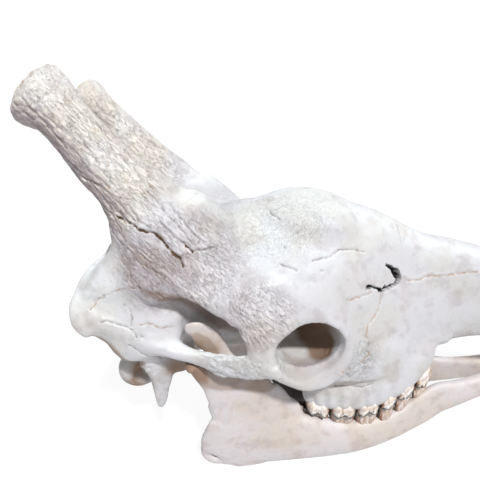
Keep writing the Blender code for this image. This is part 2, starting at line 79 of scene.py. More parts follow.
def view_axes():
    """Rows right, down and ahead of the camera: yaw and dip give ahead, and roll turns the other two."""
    yaw, dip, roll = (math.radians(a) for a in (VIEW_YAW, VIEW_DOWN, VIEW_ROLL))
    ahead = np.array([-math.sin(yaw) * math.cos(dip), math.cos(yaw) * math.cos(dip), -math.sin(dip)])
    level = np.cross(ahead, [0, 0, 1])
    level /= np.linalg.norm(level)
    right = math.cos(roll) * level + math.sin(roll) * np.cross(ahead, level)
    return np.array([right, np.cross(ahead, right), ahead])


def placed(name, data):
    """A new object in the scene that holds the data."""
    obj = bpy.data.objects.new(name, data)
    bpy.context.scene.collection.objects.link(obj)
    return obj


def camera():
    """Pinhole camera at the viewpoint, its axes those of view_axes."""
    right, down, ahead = view_axes()
    data = bpy.data.cameras.new("camera")
    data.lens = data.sensor_width * VIEW_FOCAL
    data.clip_start = 0.01
    obj = placed("camera", data)
    place = Matrix.Identity(4)
    for i, axis in enumerate((right, -down, -ahead)):
        place.col[i][:3] = axis
    place.col[3][:3] = metres(VIEW_POINT)
    obj.matrix_world = place
    bpy.context.scene.camera = obj


def linear(hex_colour):
    """sRGB hex turned to linear: a channel c becomes ((c + 0.055) / 1.055) ** 2.4, or c / 12.92 if dark."""
    channels = [int(hex_colour[i:i + 2], 16) / 255 for i in (1, 3, 5)]
    return tuple(c / 12.92 if c <= 0.04045 else ((c + 0.055) / 1.055) ** 2.4 for c in channels) + (1.0,)


def lamp(name, source, power, spread, colour):
    """Distant lamp whose light comes from the direction `source`, with soft shadows `spread` degrees wide."""
    data = bpy.data.lights.new(name, "SUN")
    data.energy = power
    data.angle = math.radians(spread)
    data.color = linear(colour)[:3]
    obj = placed(name, data)
    obj.rotation_euler = Vector(source).to_track_quat("Z", "Y").to_euler()


def sky(colour, strength):
    """Even light from all round."""
    world = bpy.data.worlds.new("studio")
    bpy.context.scene.world = world
    world.use_nodes = True
    world.node_tree.nodes["Background"].inputs["Color"].default_value = linear(colour)
    world.node_tree.nodes["Background"].inputs["Strength"].default_value = strength


camera()
lamp("key", (0.36, -0.72, 1.0), 3.75, 5, "#FFFFFF")
sky("#EFEFF6", 0.24)
bpy.context.scene.view_settings.view_transform = "Standard"


# Cranium: dry, bleached bone, one shell from the occiput to the maxillae. Its swellings are lofts through
# a few stations, joined by a fine remesh, filleted where they meet, then hollowed and worked over in relief.
ROUGH_VOXEL, VOXEL = 3.0, 1.4
JOINT_GAP = 0.03
# Share of the way to the neighbours' mean that a fillet draws each point in one pass
PULL = 0.6


def curve(rows, steps):
    """Catmull-Rom curve through every row: each span is a cubic set by its ends and their neighbours."""
    p = np.asarray(rows, float)
    p = np.vstack([2 * p[0] - p[1], p, 2 * p[-1] - p[-2]])
    a, b, c, d = (p[i:len(p) - 3 + i, None] for i in range(4))
    t = (np.arange(steps) / steps)[None, :, None]
    spans = 0.5 * (2 * b + (c - a) * t + (2 * a - 5 * b + 4 * c - d) * t**2 + (3 * b - a - 3 * c + d) * t**3)
    return np.vstack([spans.reshape(-1, p.shape[1]), p[-2][None]])


def loft(rings):
    """Closed skin over rings of equal count: quads from ring to ring, and a fan over each end ring."""
    count, sides = rings.shape[:2]
    verts = np.vstack([rings.reshape(-1, 3), rings[0].mean(0), rings[-1].mean(0)])
    j = np.arange(sides)
    k = (j + 1) % sides
    rows = np.arange(count - 1)[:, None] * sides
    quads = np.stack([rows + j, rows + k, rows + sides + k, rows + sides + j], -1).reshape(-1, 4)
    last = (count - 1) * sides
    start = np.stack([k, j, np.full(sides, count * sides)], -1)
    end = np.stack([last + j, last + k, np.full(sides, count * sides + 1)], -1)
    faces = quads.tolist() + start.tolist() + end.tolist()
    a, b, c, d = (verts[quads[:, i]] for i in range(4))
    outward = np.einsum("ij,ij->i", np.cross(c - a, d - b), (a + b + c + d) / 4 - verts.mean(0)).sum()
    return verts, faces if outward > 0 else [face[::-1] for face in faces]


def turn_of(sides):
    """The angles of evenly spaced points once round an outline."""
    return np.arange(sides) / sides * 2 * math.pi


def bent(value, power):
    """The value's size raised to the power, with its sign kept."""
    return np.sign(value) * np.abs(value) ** power


def rounded(sides, power):
    """Unit outline |x|**power + |y|**power = 1, round at power 2 and squarer above it."""
    angle = turn_of(sides)
    return bent(np.cos(angle), 2 / power), bent(np.sin(angle), 2 / power)


def tube(rows, up=(0, 0, 1), sides=32, steps=8, power=2.0, ends=(1.0, 1.0), grow=0.0):
    """Outline carried along a curve.

    A row holds a point of the curve and the outline's half widths across and along `up`. At both ends
    the outline shrinks as sqrt(1 - q * q) over a dome `ends` times its least half width.
    """
    r = curve(rows, steps)
    half = np.maximum(r[:, 3:5], 0.6) + grow
    heading = np.gradient(r[:, :3], axis=0)
    heading /= np.linalg.norm(heading, axis=1)[:, None]
    across = np.cross(heading, np.asarray(up, float))
    across /= np.linalg.norm(across, axis=1)[:, None]
    along = np.cross(across, heading)
    q = np.array([0.97, 0.87, 0.71, 0.5, 0.26])
    dome = half[[0, -1]].min(1) * ends + grow
    at = np.r_[np.zeros(5, int), np.arange(len(r)), np.full(5, len(r) - 1)]
    shift = np.r_[-q * dome[0], np.zeros(len(r)), q[::-1] * dome[1]]
    scale = np.r_[np.sqrt(1 - q * q), np.ones(len(r)), np.sqrt(1 - q[::-1] ** 2)]
    cu, cv = rounded(sides, power)
    wide = across[at, None] * (cu * (half[at, 0] * scale)[:, None])[..., None]
    high = along[at, None] * (cv * (half[at, 1] * scale)[:, None])[..., None]
    return loft(r[at, None, :3] + heading[at, None] * shift[:, None, None] + wide + high)


def trunk(rows, sides=72, steps=8):
    """Symmetric body along x.

    A row holds x, half width, top, level of the widest line, bottom, and the powers of the outline
    above and below that line.
    """
    x, width, top, middle, bottom, above, below = (c[:, None] for c in curve(rows, steps).T)
    c, s = np.cos(turn_of(sides))[None], np.sin(turn_of(sides))[None]
    power = np.where(s >= 0, above, below)
    y = bent(c, 2 / power) * width
    reach = np.where(s >= 0, top - middle, middle - bottom)
    z = middle + bent(s, 2 / power) * reach
    return loft(np.stack([x + 0 * y, y, z], -1))


def ball(centre, radii, pitch=0.0, sides=36):
    """Ellipsoid turned about y by pitch degrees."""
    lat = np.linspace(0, math.pi, sides // 2 + 1)[1:-1, None]
    lon = turn_of(sides)
    unit = np.stack([np.sin(lat) * np.cos(lon), np.sin(lat) * np.sin(lon), np.cos(lat) + 0 * lon], -1)
    verts, faces = loft(unit * radii)
    c, s = math.cos(math.radians(pitch)), math.sin(math.radians(pitch))
    return verts @ np.array([[c, 0, s], [0, 1, 0], [-s, 0, c]]).T + np.asarray(centre, float), faces


def box(low, high):
    """Block between two corners."""
    (x0, y0, z0), (x1, y1, z1) = low, high
    verts = np.array([(x, y, z) for x in (x0, x1) for y in (y0, y1) for z in (z0, z1)], float)
    return verts, [[0, 1, 3, 2], [4, 6, 7, 5], [0, 4, 5, 1], [2, 3, 7, 6], [0, 2, 6, 4], [1, 5, 7, 3]]


def prism(outline, half_width):
    """Block across the midline over four (x, z) corners."""
    verts = np.array([(x, side * half_width, z) for side in (-1, 1) for x, z in outline], float)
    return verts, [[0, 1, 2, 3], [7, 6, 5, 4], [0, 4, 5, 1], [1, 5, 6, 2], [2, 6, 7, 3], [3, 7, 4, 0]]


def mirrored(shape):
    """The shape with y turned to -y."""
    return shape[0] * np.array([1.0, -1.0, 1.0]), [face[::-1] for face in shape[1]]


def both(shapes):
    """Each shape and its mirror image."""
    return [s for shape in shapes for s in (shape, mirrored(shape))]


def piece(name, shapes):
    """One mesh object that holds every shape, its place in its mesh."""
    verts, faces, offset = [], [], 0
    for points, polygons in shapes:
        verts.append(metres(points))
        faces += [[i + offset for i in polygon] for polygon in polygons]
        offset += len(points)
    mesh = bpy.data.meshes.new(name)
    mesh.from_pydata(np.vstack(verts).tolist(), [], faces)
    return placed(name, mesh)


def applied(obj):
    """The object with its modifiers worked into its mesh."""
    mesh = bpy.data.meshes.new_from_object(obj.evaluated_get(bpy.context.evaluated_depsgraph_get()))
    obj.modifiers.clear()
    old, obj.data = obj.data, mesh
    mesh.name = obj.name
    bpy.data.meshes.remove(old)
    return obj


def cut(obj, shapes):
    """Cuts the closed shapes out of the object."""
    tools = bpy.data.collections.new("tools")
    bpy.context.scene.collection.children.link(tools)
    for shape in shapes:
        tool = piece("tool", [shape])
        bpy.context.scene.collection.objects.unlink(tool)
        tools.objects.link(tool)
    boolean = obj.modifiers.new("Boolean", "BOOLEAN")
    boolean.operation = "DIFFERENCE"
    boolean.operand_type = "COLLECTION"
    boolean.collection = tools
    boolean.solver = "MANIFOLD"
    applied(obj)
    for tool in list(tools.objects):
        bpy.data.objects.remove(tool)
    bpy.data.collections.remove(tools)


def remeshed(obj, voxel):
    """One even skin round all the shapes, made of squares of the voxel's size."""
    remesh = obj.modifiers.new("Remesh", "REMESH")
    remesh.mode = "VOXEL"
    remesh.voxel_size = voxel * MM
    return applied(obj)


def thinned(obj, triangles):
    """Leaves the skin about the given number of triangles, dropping them where it is flattest."""
    obj.data.calc_loop_triangles()
    count = len(obj.data.loop_triangles)
    if count > triangles:
        decimate = obj.modifiers.new("Decimate", "DECIMATE")
        decimate.ratio = triangles / count
        decimate.use_collapse_triangulate = True
        applied(obj)


def rows_of(items, key, width, kind=float):
    """One property of all the items, as rows of `width` numbers."""
    out = np.empty(len(items) * width, kind)
    items.foreach_get(key, out)
    return out.reshape(-1, width)


def points_of(obj):
    """The mesh's points in skull millimetres."""
    return rows_of(obj.data.vertices, "co", 3) / MM - DATUM


def set_points(obj, points):
    """Puts points in skull millimetres back into the mesh."""
    obj.data.vertices.foreach_set("co", metres(points).ravel())
    obj.data.update()


def normals_of(obj):
    """The unit normal at each point."""
    return rows_of(obj.data.vertex_normals, "vector", 3)


def largest(obj):
    """The object with only its largest closed surface.

    Every point takes the least label among its neighbours until the labels stay as they are.
    """
    a, b = rows_of(obj.data.edges, "vertices", 2, int).T
    label = np.arange(len(obj.data.vertices))
    while True:
        low = np.minimum(label[a], label[b])
        new = label.copy()
        np.minimum.at(new, a, low)
        np.minimum.at(new, b, low)
        new = new[new]
        if (new == label).all():
            break
        label = new
    keep = np.bincount(label).argmax()
    if (label != keep).any():
        bm = bmesh.new()
        bm.from_mesh(obj.data)
        bm.verts.ensure_lookup_table()
        bmesh.ops.delete(bm, geom=[bm.verts[i] for i in np.nonzero(label != keep)[0]], context="VERTS")
        bm.to_mesh(obj.data)
        bm.free()
    return obj


def filleted(obj, passes, ridges, hollows=lambda p: 1.0):
    """Draws every point towards the mean of its neighbours.

    `ridges` and `hollows` give the share of the pull that acts at points on ridges and in hollows.
    """
    a, b = rows_of(obj.data.edges, "vertices", 2, int).T
    p = points_of(obj)
    ends, others = np.r_[a, b], np.r_[b, a]
    count = np.bincount(ends, minlength=len(p))[:, None]
    convex, concave = (share(p) * np.ones(len(p)) for share in (ridges, hollows))
    for _ in range(passes):
        mean = np.stack([np.bincount(ends, p[others, i], len(p)) for i in range(3)], 1) / count
        pull = mean - p
        inward = np.einsum("ij,ij->i", pull, normals_of(obj)) > 0
        p += pull * (PULL * np.where(inward, concave, convex))[:, None]
        set_points(obj, p)


# Length of the noise's table of random values, and the primes that scatter whole places over it
TABLE_LENGTH = 4096
SCATTER = (73856093, 19349663, 83492791)


def lattice(p, seed):
    """Smooth noise from -1 to 1: random values at whole places, blended by t * t * (3 - 2 * t) between."""
    table = np.random.default_rng(seed).uniform(-1, 1, TABLE_LENGTH)
    cell = np.floor(p).astype(np.int64)
    t = p - cell
    t = t * t * (3 - 2 * t)
    total = np.zeros(len(p))
    for corner in range(8):
        step = np.array([corner & 1, corner >> 1 & 1, corner >> 2])
        x, y, z = ((cell + step) * SCATTER).T
        value = table[(x ^ y ^ z) & TABLE_LENGTH - 1]
        total += value * np.prod(np.where(step, t, 1 - t), 1)
    return total


def grain(p, size, seed, along=None, stretch=1.0):
    """Two octaves of noise with bumps of about `size` millimetres, drawn out `stretch` times one way."""
    if along is not None:
        d = np.asarray(along, float) / np.linalg.norm(along)
        run = p @ d
        p = p - np.outer(run * (1 - 1 / stretch), d)
    return (2 * lattice(p / size, seed) + lattice(p / size * 2.1 + 9.7, seed + 1)) / 3


def rise(value, low, high):
    """0 below low, 1 above high, and t * t * (3 - 2 * t) between."""
    t = np.clip((value - low) / (high - low), 0, 1)
    return t * t * (3 - 2 * t)


def level(line, x):
    """Height or width of a line of (x, value) stations at x."""
    return np.interp(x, *zip(*line))


def patch(p, centre, radii):
    """1 in the middle of an ellipsoid on both sides of the skull, fading to 0 at its surface."""
    q = np.stack([p[:, 0], np.abs(p[:, 1]), p[:, 2]], 1)
    return rise(1 - np.linalg.norm((q - centre) / radii, axis=1), 0, 0.6)


def core_shapes():
    """The long core from the occiput to the nasal tips, the frontal roof over it, and the median dome."""
    core = trunk([
        (44, 46, 188, 140, 92, 2.4, 2.4),
        (70, 58, 206, 145, 80, 2.4, 2.4),
        (110, 62, 226, 150, 74, 2.4, 2.4),
        (150, 58, 240, 150, 76, 2.3, 2.3),
        (190, 50, 250, 150, 78, 2.2, 2.2),
        (230, 42, 256, 150, 66, 2.1, 2.2),
        (270, 42, 258, 140, 36, 2.0, 2.6),
        (310, 60, 255, 125, 34, 1.8, 2.6),
        (345, 66, 249, 105, 29, 1.6, 2.8),
        (380, 61, 235, 92, 28, 1.6, 2.8),
        (410, 53, 217, 88, 31, 1.7, 2.8),
        (440, 42, 201, 98, 43, 2.0, 2.8),
        (470, 35, 191, 112, 52, 2.3, 3.2),
        (500, 32, 181, 114, 55, 2.4, 3.2),
        (524, 30, 172, 110, 54, 2.4, 3.2),
        (544, 28, 162, 104, 55, 2.4, 3.0),
        (556, 27, 154, 100, 56, 2.4, 3.0),
        (574, 25, 132, 88, 54, 2.4, 3.0),
    ])
    roof = trunk([
        (48, 66, 190, 168, 152, 2.2, 2.0),
        (66, 78, 206, 186, 168, 2.0, 2.0),
        (91, 87, 226, 196, 180, 1.9, 2.0),
        (125, 94, 240, 193, 178, 1.8, 2.0),
        (157, 100, 246, 182, 168, 1.7, 2.0),
        (182, 106, 250, 167, 154, 1.6, 2.0),
        (205, 112, 261, 156, 144, 1.55, 2.0),
        (232, 116, 264, 154, 146, 1.5, 2.2),
        (260, 113, 265, 155, 146, 1.5, 2.2),
        (289, 108, 264, 155, 144, 1.5, 2.2),
        (312, 99, 260, 149, 132, 1.5, 2.0),
        (335, 84, 254, 142, 120, 1.6, 2.0),
        (360, 68, 245, 138, 112, 1.7, 2.0),
        (390, 48, 230, 148, 112, 1.8, 2.0),
        (420, 34, 209, 160, 120, 2.0, 2.0),
    ])
    return [core, roof, ball((286, 0, 212), (84, 66, 59), pitch=5)]


def occiput_shapes():
    """Nuchal plate and crest, condyles, paroccipital processes, bullae and the base under the brain."""
    plate = tube([
        (70, 0, 206, 20, 12),
        (46, 0, 192, 50, 18),
        (34, 0, 177, 68, 20),
        (30, 0, 158, 80, 20),
        (35, 0, 141, 84, 18),
        (46, 0, 125, 79, 18),
        (58, 0, 105, 66, 20),
        (68, 0, 84, 50, 22),
    ], up=(1, 0, 0), sides=64, power=2.7, ends=(0.5, 0.6))
    base = tube([
        (50, 0, 62, 28, 16),
        (90, 0, 64, 26, 15),
        (140, 0, 72, 26, 16),
        (200, 0, 76, 24, 18),
        (262, 0, 66, 18, 18),
    ])
    crest = tube([
        (25, -83, 138, 5, 7),
        (16, -82, 152, 5.5, 7),
        (14, -77, 169, 5.5, 7),
        (19, -65, 183, 6, 7),
        (27, -42, 198, 7, 7),
        (38, 0, 202, 7, 7),
    ], up=(1, 0, 0))
    condyle = tube([
        (58, -30, 74, 12, 10),
        (50, -36, 63, 15, 14),
        (46, -38, 48, 15, 15),
        (52, -34, 34, 13, 12),
        (64, -26, 28, 11, 8),
    ], up=(1, 0.3, 0))
    process = tube([
        (86, -66, 106, 12, 22),
        (91, -64, 80, 10, 16),
        (95, -61, 56, 7.5, 15.5),
        (91, -59, 33, 5.5, 11),
        (88, -58, 14, 4.5, 8),
        (85, -57, 3, 3.5, 5),
    ], up=(1, 0.25, 0), power=2.4)
    bulla = ball((118, -50, 76), (24, 16, 22))
    saddle = ball((72, -50, 188), (38, 29, 30))
    slope = tube([(30, -56, 183, 22, 12), (51, -55, 202, 23, 13), (78, -54, 225, 25, 16)])
    # Pterygoid plates, drawn down past the bite further than the real ones reach, to be blackened by deep
    # painted shade where the jaws leave a gap
    pterygoid_shade_plate = tube([
        (246, -26, 68, 7, 28),
        (254, -26, 42, 6, 29),
        (262, -26, 16, 5.5, 29),
        (266, -26, -6, 5, 25),
        (270, -26, -20, 4.5, 20),
        (271, -26, -33, 4.5, 17),
    ], up=(1, 0, 0), power=2.4)
    return [plate, base] + both([crest, condyle, process, bulla, saddle, slope, pterygoid_shade_plate])


def cheek_shapes():
    """Walls: squamous wall, arch, postorbital bar, orbit, jugal, lacrimal, tuberosity and tooth sockets."""
    squama = tube([
        (84, -50, 198, 14, 38),
        (84, -56, 174, 18, 44),
        (86, -62, 150, 20, 48),
        (90, -68, 130, 20, 50),
        (96, -75, 114, 15, 42),
    ], up=(1, 0, 0), power=2.3)
    wall = tube([(120, -48, 150, 18, 40), (150, -46, 142, 14, 38), (180, -40, 136, 12, 34)])
    arch = tube([
        (34, -75, 152, 10, 14),
        (54, -76, 143, 12, 16),
        (76, -77, 131, 14, 16),
        (100, -79, 119, 15, 14),
        (124, -84, 111, 13, 10),
        (144, -92, 107, 9, 9),
        (162, -99, 105, 7, 11),
        (180, -106, 101, 6.5, 16),
        (202, -111, 101, 6.5, 16.5),
        (226, -114, 101, 8, 15),
        (244, -114, 95, 9, 11),
        (260, -111, 82, 9.5, 10),
        (278, -106, 71, 10, 10),
        (296, -100, 70, 10, 10),
        (312, -95, 80, 10.5, 10),
        (322, -90, 99, 11, 12),
        (321, -88, 120, 12, 12),
    ])
    bar = tube([
        (226, -98, 178, 12, 40),
        (236, -104, 158, 11, 38),
        (231, -109, 142, 9.5, 27),
        (229, -112, 126, 8.5, 18),
        (228, -113, 110, 8.5, 18),
        (230, -112, 96, 8, 24),
    ], up=(1, 0, 0))
    orbit = tube([
        (270, -40, 122, 38, 36),
        (275, -64, 120, 44, 40),
        (280, -88, 119, 47, 40),
        (281, -104, 118, 46, 39),
    ], ends=(0.2, 0.0))
    jugal = tube([
        (252, -98, 82, 12, 9),
        (280, -86, 78, 17, 19),
        (316, -76, 75, 18.5, 25),
        (341, -68, 71, 18.5, 29),
        (370, -58, 64, 17, 29),
        (402, -46, 62, 12, 26),
    ], power=3.0)
    ledge = tube([(284, -84, 62, 6, 7), (312, -80, 52, 6, 8), (340, -74, 48, 6, 8), (366, -64, 46, 5, 7)])
    lacrimal = tube([
        (308, -74, 118, 24, 28),
        (335, -64, 108, 22, 38),
        (362, -54, 100, 18, 44),
        (395, -42, 96, 13, 46),
        (430, -33, 98, 9, 44),
        (466, -28, 98, 7, 44),
    ])
    tuberosity = tube([
        (296, -62, 80, 14, 17),
        (296, -63, 50, 14, 18),
        (298, -64, 20, 12, 17),
    ], up=(1, 0, 0), power=2.6)
    sockets = tube([
        (286, -62, 24, 12, 21),
        (309, -65, 19, 13, 24),
        (342, -64, 17, 13.5, 24),
        (372, -60, 19, 13, 24),
        (395, -54, 25, 11.5, 23),
        (417, -47, 34, 10, 19),
        (431, -42, 44, 8.5, 16),
        (440, -37, 56, 7, 12),
    ], power=2.6)
    return both([squama, wall, arch, bar, orbit, jugal, ledge, lacrimal, tuberosity, sockets])


# Ossicones: paired horn cores of solid bone, fused to the frontal by a spreading foot. The shaft leans back
# to a blunt, rough knob; the left one is a little shorter and slimmer.
LEFT_SHORT = 12.0
SHAFT = np.array([-0.62, 0.0, 0.78])
SHAFT_LEAN = math.atan2(-SHAFT[0], SHAFT[2])
# Where the feet end on the shafts' axes, and the way that the shafts leave them
FOOT_POINT = np.array([118.0, 0.0, 264.0])
FOOT_AXIS = np.array([-0.41, 0.0, 0.91])


def ossicone(short=0.0):
    """Right ossicone as a tube; `short` draws the knob down along the shaft and slims it."""
    rows = np.array([
        (150, -44, 196, 54, 80),
        (140, -46, 222, 50, 77),
        (128, -49, 246, 45, 67),
        (117, -51, 264, 40, 55),
        (109, -53, 282, 34, 44),
        (99, -55, 299, 31, 37),
        (90, -57, 312, 28.5, 32.5),
        (74, -58, 334, 26.5, 30),
        (58, -58, 362, 26, 27.5),
        (43.5, -58, 383, 26.5, 27.5),
        (37, -57, 391, 29, 31),
        (29.5, -57, 399, 31.5, 34),
        (24.5, -57, 404, 31.5, 34.5),
    ], float)
    share = np.clip((rows[:, 2] - 330) / 70, 0, 1) * short
    rows[:, 0] -= 0.1 * share
    rows[:, 2] -= 0.55 * share
    rows[:, 3] -= 0.35 * share
    rows[:, 4] -= 0.5 * share
    return tube(rows, up=(1, 0, 0.7), ends=(0.3, 0.4))


def hollows():
    """What is hollowed out: orbits, pits beside the condyles, foramen, choana, palate, nose and its mouth."""
    orbit = tube([
        (270, -36, 114, 22, 20),
        (274, -58, 112, 32, 28),
        (279, -80, 114, 36, 31),
        (281, -98, 118, 37.5, 31),
        (283, -110, 116, 40, 34.5),
        (288, -138, 113, 46, 42),
    ])
    foramen = tube([(10, 0, 78, 19, 17), (52, 0, 78, 18, 16), (96, 0, 80, 15, 14)])
    choana = tube([(200, 0, 46, 15, 14), (240, 0, 46, 17, 15), (284, 0, 42, 16, 12)])
    vault = tube([
        (296, 0, 22, 44, 6),
        (340, 0, 25, 47, 9),
        (390, 0, 27, 38, 9),
        (430, 0, 38, 22, 9),
        (460, 0, 54, 12, 8),
    ])
    nose = tube([
        (462, 0, 128, 10, 22),
        (486, 0, 124, 21, 42),
        (520, 0, 116, 21, 46),
        (548, 0, 108, 17, 42),
        (580, 0, 98, 14, 34),
    ], power=2.4)
    notch = prism([(522, 150), (620, 150), (620, 60), (584, 84)], 60)
    recess = ball((64, -48, 46), (10, 11, 15))
    return both([orbit, recess]) + [foramen, choana, vault, nose, notch]


def firm(p):
    """How far the first fillet may wear down ridges: barely on the face, more round the ossicones' feet."""
    return 0.03 + 0.78 * patch(p, (140, 52, 226), (100, 80, 85))


def open_hollow(p):
    """How far the first fillet may fill hollows: fully, but little in the fossa and under the cheek."""
    fossa, under_cheek = patch(p, (182, 82, 132), (88, 60, 62)), patch(p, (335, 80, 34), (75, 34, 30))
    return 1 - 0.9 * np.maximum(fossa, under_cheek)


horns = [ossicone(), mirrored(ossicone(LEFT_SHORT))]
skull = piece("skull", core_shapes() + occiput_shapes() + cheek_shapes() + horns)
remeshed(skull, ROUGH_VOXEL)
filleted(skull, 60, firm, open_hollow)
cut(skull, hollows())
largest(remeshed(skull, VOXEL))
filleted(skull, 7, lambda p: 0.6)


# Marks on the bone: drying cracks, sutures, pits and foramina. Each line is read off the camera's frame, in
# pixels of a 480 square, laid on the surface, roughened, and repeated on the side that the camera misses.
CRACKS = [
    [(117, 217), (124, 220), (132, 225), (138, 229), (147, 232), (154, 233), (160, 238), (166, 245),
     (171, 252), (176, 256), (180, 258), (184, 268)],
    [(183, 243), (187, 247), (192, 252)],
]
FURROWS = [
    [(148, 192), (154, 197), (160, 205), (166, 213), (172, 220), (178, 226), (186, 236), (195, 246)],
    [(84, 178), (92, 182), (102, 188), (112, 197), (120, 204), (126, 212), (134, 220), (142, 224)],
    [(160, 222), (168, 230), (175, 238), (184, 243)],
    [(68, 118), (72, 128), (80, 138), (86, 147), (92, 155), (99, 165)],
    [(128, 205), (134, 213), (140, 222), (150, 228)],
    [(170, 205), (178, 215), (186, 226), (196, 236), (206, 244)],
    [(122, 238), (132, 248), (144, 258), (156, 266)],
    [(22, 98), (30, 108), (42, 120), (54, 134), (66, 148)],
    [(14, 104), (24, 112), (34, 120)],
    [(36, 96), (46, 108), (60, 122)],
    [(195, 250), (205, 250), (214, 247)],
    [(112, 232), (122, 244), (134, 254)],
    [(138, 262), (152, 270), (166, 278)],
    [(268, 210), (274, 216), (280, 220)],
    [(281, 264), (285, 267), (297, 271)],
    [(313, 261), (330, 257), (336, 252), (340, 250), (350, 249), (365, 252)],
    [(100, 322), (108, 321), (116, 324), (126, 327), (133, 330), (137, 338)],
    [(129, 309), (132, 318), (131, 326)],
    [(335, 386), (350, 386), (362, 387), (372, 384)],
    [(128, 345), (138, 351), (148, 356), (162, 358)],
]
SUTURES = [
    [(402, 278), (412, 281), (420, 280), (430, 275), (440, 277), (455, 274), (478, 272)],
    [(382, 294), (380, 304), (377, 312), (373, 318), (368, 325), (366, 335), (369, 345), (368, 355),
     (360, 364), (352, 370), (342, 372)],
    [(348, 300), (360, 297), (372, 292)],
    [(90, 310), (96, 303), (105, 296), (115, 291), (125, 289), (140, 288)],
    [(140, 325), (150, 324), (160, 328), (172, 327)],
]
# Torn holes: after each place, the half width there in millimetres
RENTS = [
    [(387, 265, 0.8), (392, 268, 2.6), (397, 273, 4.6), (399, 279, 3.6), (396, 284, 2.0),
     (390, 287, 1.7), (384, 289, 2.3), (380, 291, 1.4), (373, 288, 1.0), (368, 287, 2.0), (366, 290, 1.2)],
]
PITS = [(297, 233), (285, 248), (322, 271), (141, 181), (142, 337), (124, 305), (216, 307), (205, 306),
        (230, 303), (117, 131), (114, 117), (119, 121)]
# Spacing of a line's points in millimetres, how far along its axis a torn hole reaches, its depth where there
# is none, and how many pairs of points are measured at a time
LINE_STEP = 0.7
BORE, NO_HOLE = 12, -9.0
BATCH = 8_000_000


def on_surface(surface, pixels):
    """Where rays from the viewpoint through the pixels meet the surface: ahead + x * right + y * down."""
    right, down, ahead = view_axes()
    eye = metres(VIEW_POINT)
    found = []
    for u, v in pixels:
        x, y = (u / FRAME_SIZE - 0.5) / VIEW_FOCAL, (v / FRAME_SIZE - 0.5) / VIEW_FOCAL
        hit = surface.ray_cast(Vector(eye), Vector(ahead + x * right + y * down))[0]
        if hit is not None:
            found.append(np.array(hit) / MM - DATUM)
    return np.array(found)


def snapped(surface, points):
    """The nearest surface points to the given ones, each with the surface's normal there."""
    hits = [surface.find_nearest(Vector(q))[:2] for q in metres(points)]
    return np.array([np.r_[np.array(place) / MM - DATUM, normal] for place, normal in hits])


def ragged(points, seed, wander):
    """The polyline in even steps, each point moved by noise of up to about `wander` millimetres."""
    run = np.r_[0, np.cumsum(np.linalg.norm(np.diff(points[:, :3], axis=0), axis=1))]
    at = np.arange(0, run[-1], LINE_STEP)
    line = np.stack([np.interp(at, run, c) for c in points.T], 1)
    p = line[:, :3].copy()
    for i in range(3):
        line[:, i] += wander * (lattice(p / 3.1, seed + i) + 0.5 * lattice(p / 1.3, seed + i))
    return line


def marks(surface, lines, seed, wander):
    """Ragged lines on both sides of the skull, a row for each point.

    A row holds the place, the surface's normal and the half width, where the line states one.
    """
    out = []
    for i, pixels in enumerate(lines):
        near = on_surface(surface, [q[:2] for q in pixels])
        widths = np.array([q[2:] for q in pixels])[:len(near)]
        for turn, step in ((1, 0), (-1, 3)):
            line = ragged(np.hstack([near * (1, turn, 1), widths]), seed + 7 * i + step, wander)
            out.append(np.hstack([snapped(surface, line[:, :3]), line[:, 3:]]))
    return out


def away(p, n, lines, reach, depth=0.0):
    """Signed distance from each point to the nearest line, by the side it lies on, up to `reach` millimetres.

    The lines are first sunk by `depth` below the surface they were drawn on.
    """
    out = np.full(len(p), reach, float)
    for line in lines:
        line = line[:, :3] - depth * line[:, 3:6]
        low, high = line.min(0) - reach, line.max(0) + reach
        close = np.nonzero(((p > low) & (p < high)).all(1))[0]
        heading = np.gradient(line, axis=0)
        for part in np.array_split(close, len(close) * len(line) // BATCH + 1):
            gap = np.linalg.norm(p[part, None] - line[None], axis=2)
            nearest = gap.argmin(1)
            least = gap[np.arange(len(part)), nearest]
            side = np.einsum("ij,ij->i", np.cross(heading[nearest], p[part] - line[nearest]), n[part])
            past_end = (nearest == 0) | (nearest == len(line) - 1)
            value = np.where((side < 0) & ~past_end, -least, least)
            out[part] = np.where(least < np.abs(out[part]), value, out[part])
    return out


def opened(p, lines):
    """How deep each point lies inside the nearest torn hole.

    It is the half width less the distance across the hole's axis, within BORE along it, roughened by noise.
    """
    out = np.full(len(p), NO_HOLE)
    for line in lines:
        axis = line[:, 3:6].sum(0) / np.linalg.norm(line[:, 3:6].sum(0))
        reach = np.ptp(line[:, :3], axis=0) / 2 + BORE + 2
        close = np.nonzero((np.abs(p - line[:, :3].mean(0)) < reach).all(1))[0]
        gap = p[close, None] - line[None, :, :3]
        along = gap @ axis
        across = np.sqrt(np.maximum((gap**2).sum(2) - along**2, 0))
        depth = np.where(np.abs(along) < BORE, line[:, 6] - across, NO_HOLE).max(1)
        out[close] = np.maximum(out[close], depth + 0.9 * lattice(p[close] / 1.7, 91))
    return out


def horn_share(p):
    """0 on the frontal, 1 a little way up either ossicone."""
    return rise((p - FOOT_POINT) @ FOOT_AXIS, -14, 16) * rise(150 - p[:, 0], -20, 40)


def knob_share(p):
    """1 on the blunt end of either ossicone."""
    return rise(p @ SHAFT, 268, 286)


def flank_share(p):
    """1 on the flank of either ossicone's foot, down to the postorbital bar, where the bone is drawn out."""
    foot = patch(p, (140, 82, 218), (100, 76, 84)) * rise(np.abs(p[:, 1]), 36, 70)
    return np.maximum(foot, patch(p, (228, 104, 160), (52, 40, 52)))


def crown_share(p):
    """1 on the granular roof between the ossicones and the face."""
    return patch(p, (235, 40, 246), (125, 100, 70))


def arch_share(p):
    """1 on the rough middle of either cheek arch."""
    return patch(p, (200, 112, 100), (70, 30, 34))


def cheek_share(p):
    """1 on the rough cheek over the molars."""
    return patch(p, (334, 78, 80), (44, 36, 40))


def crevices(value, width):
    """Thin valleys, -1 deep, where the noise crosses zero."""
    return -np.exp(-(value / width) ** 2)


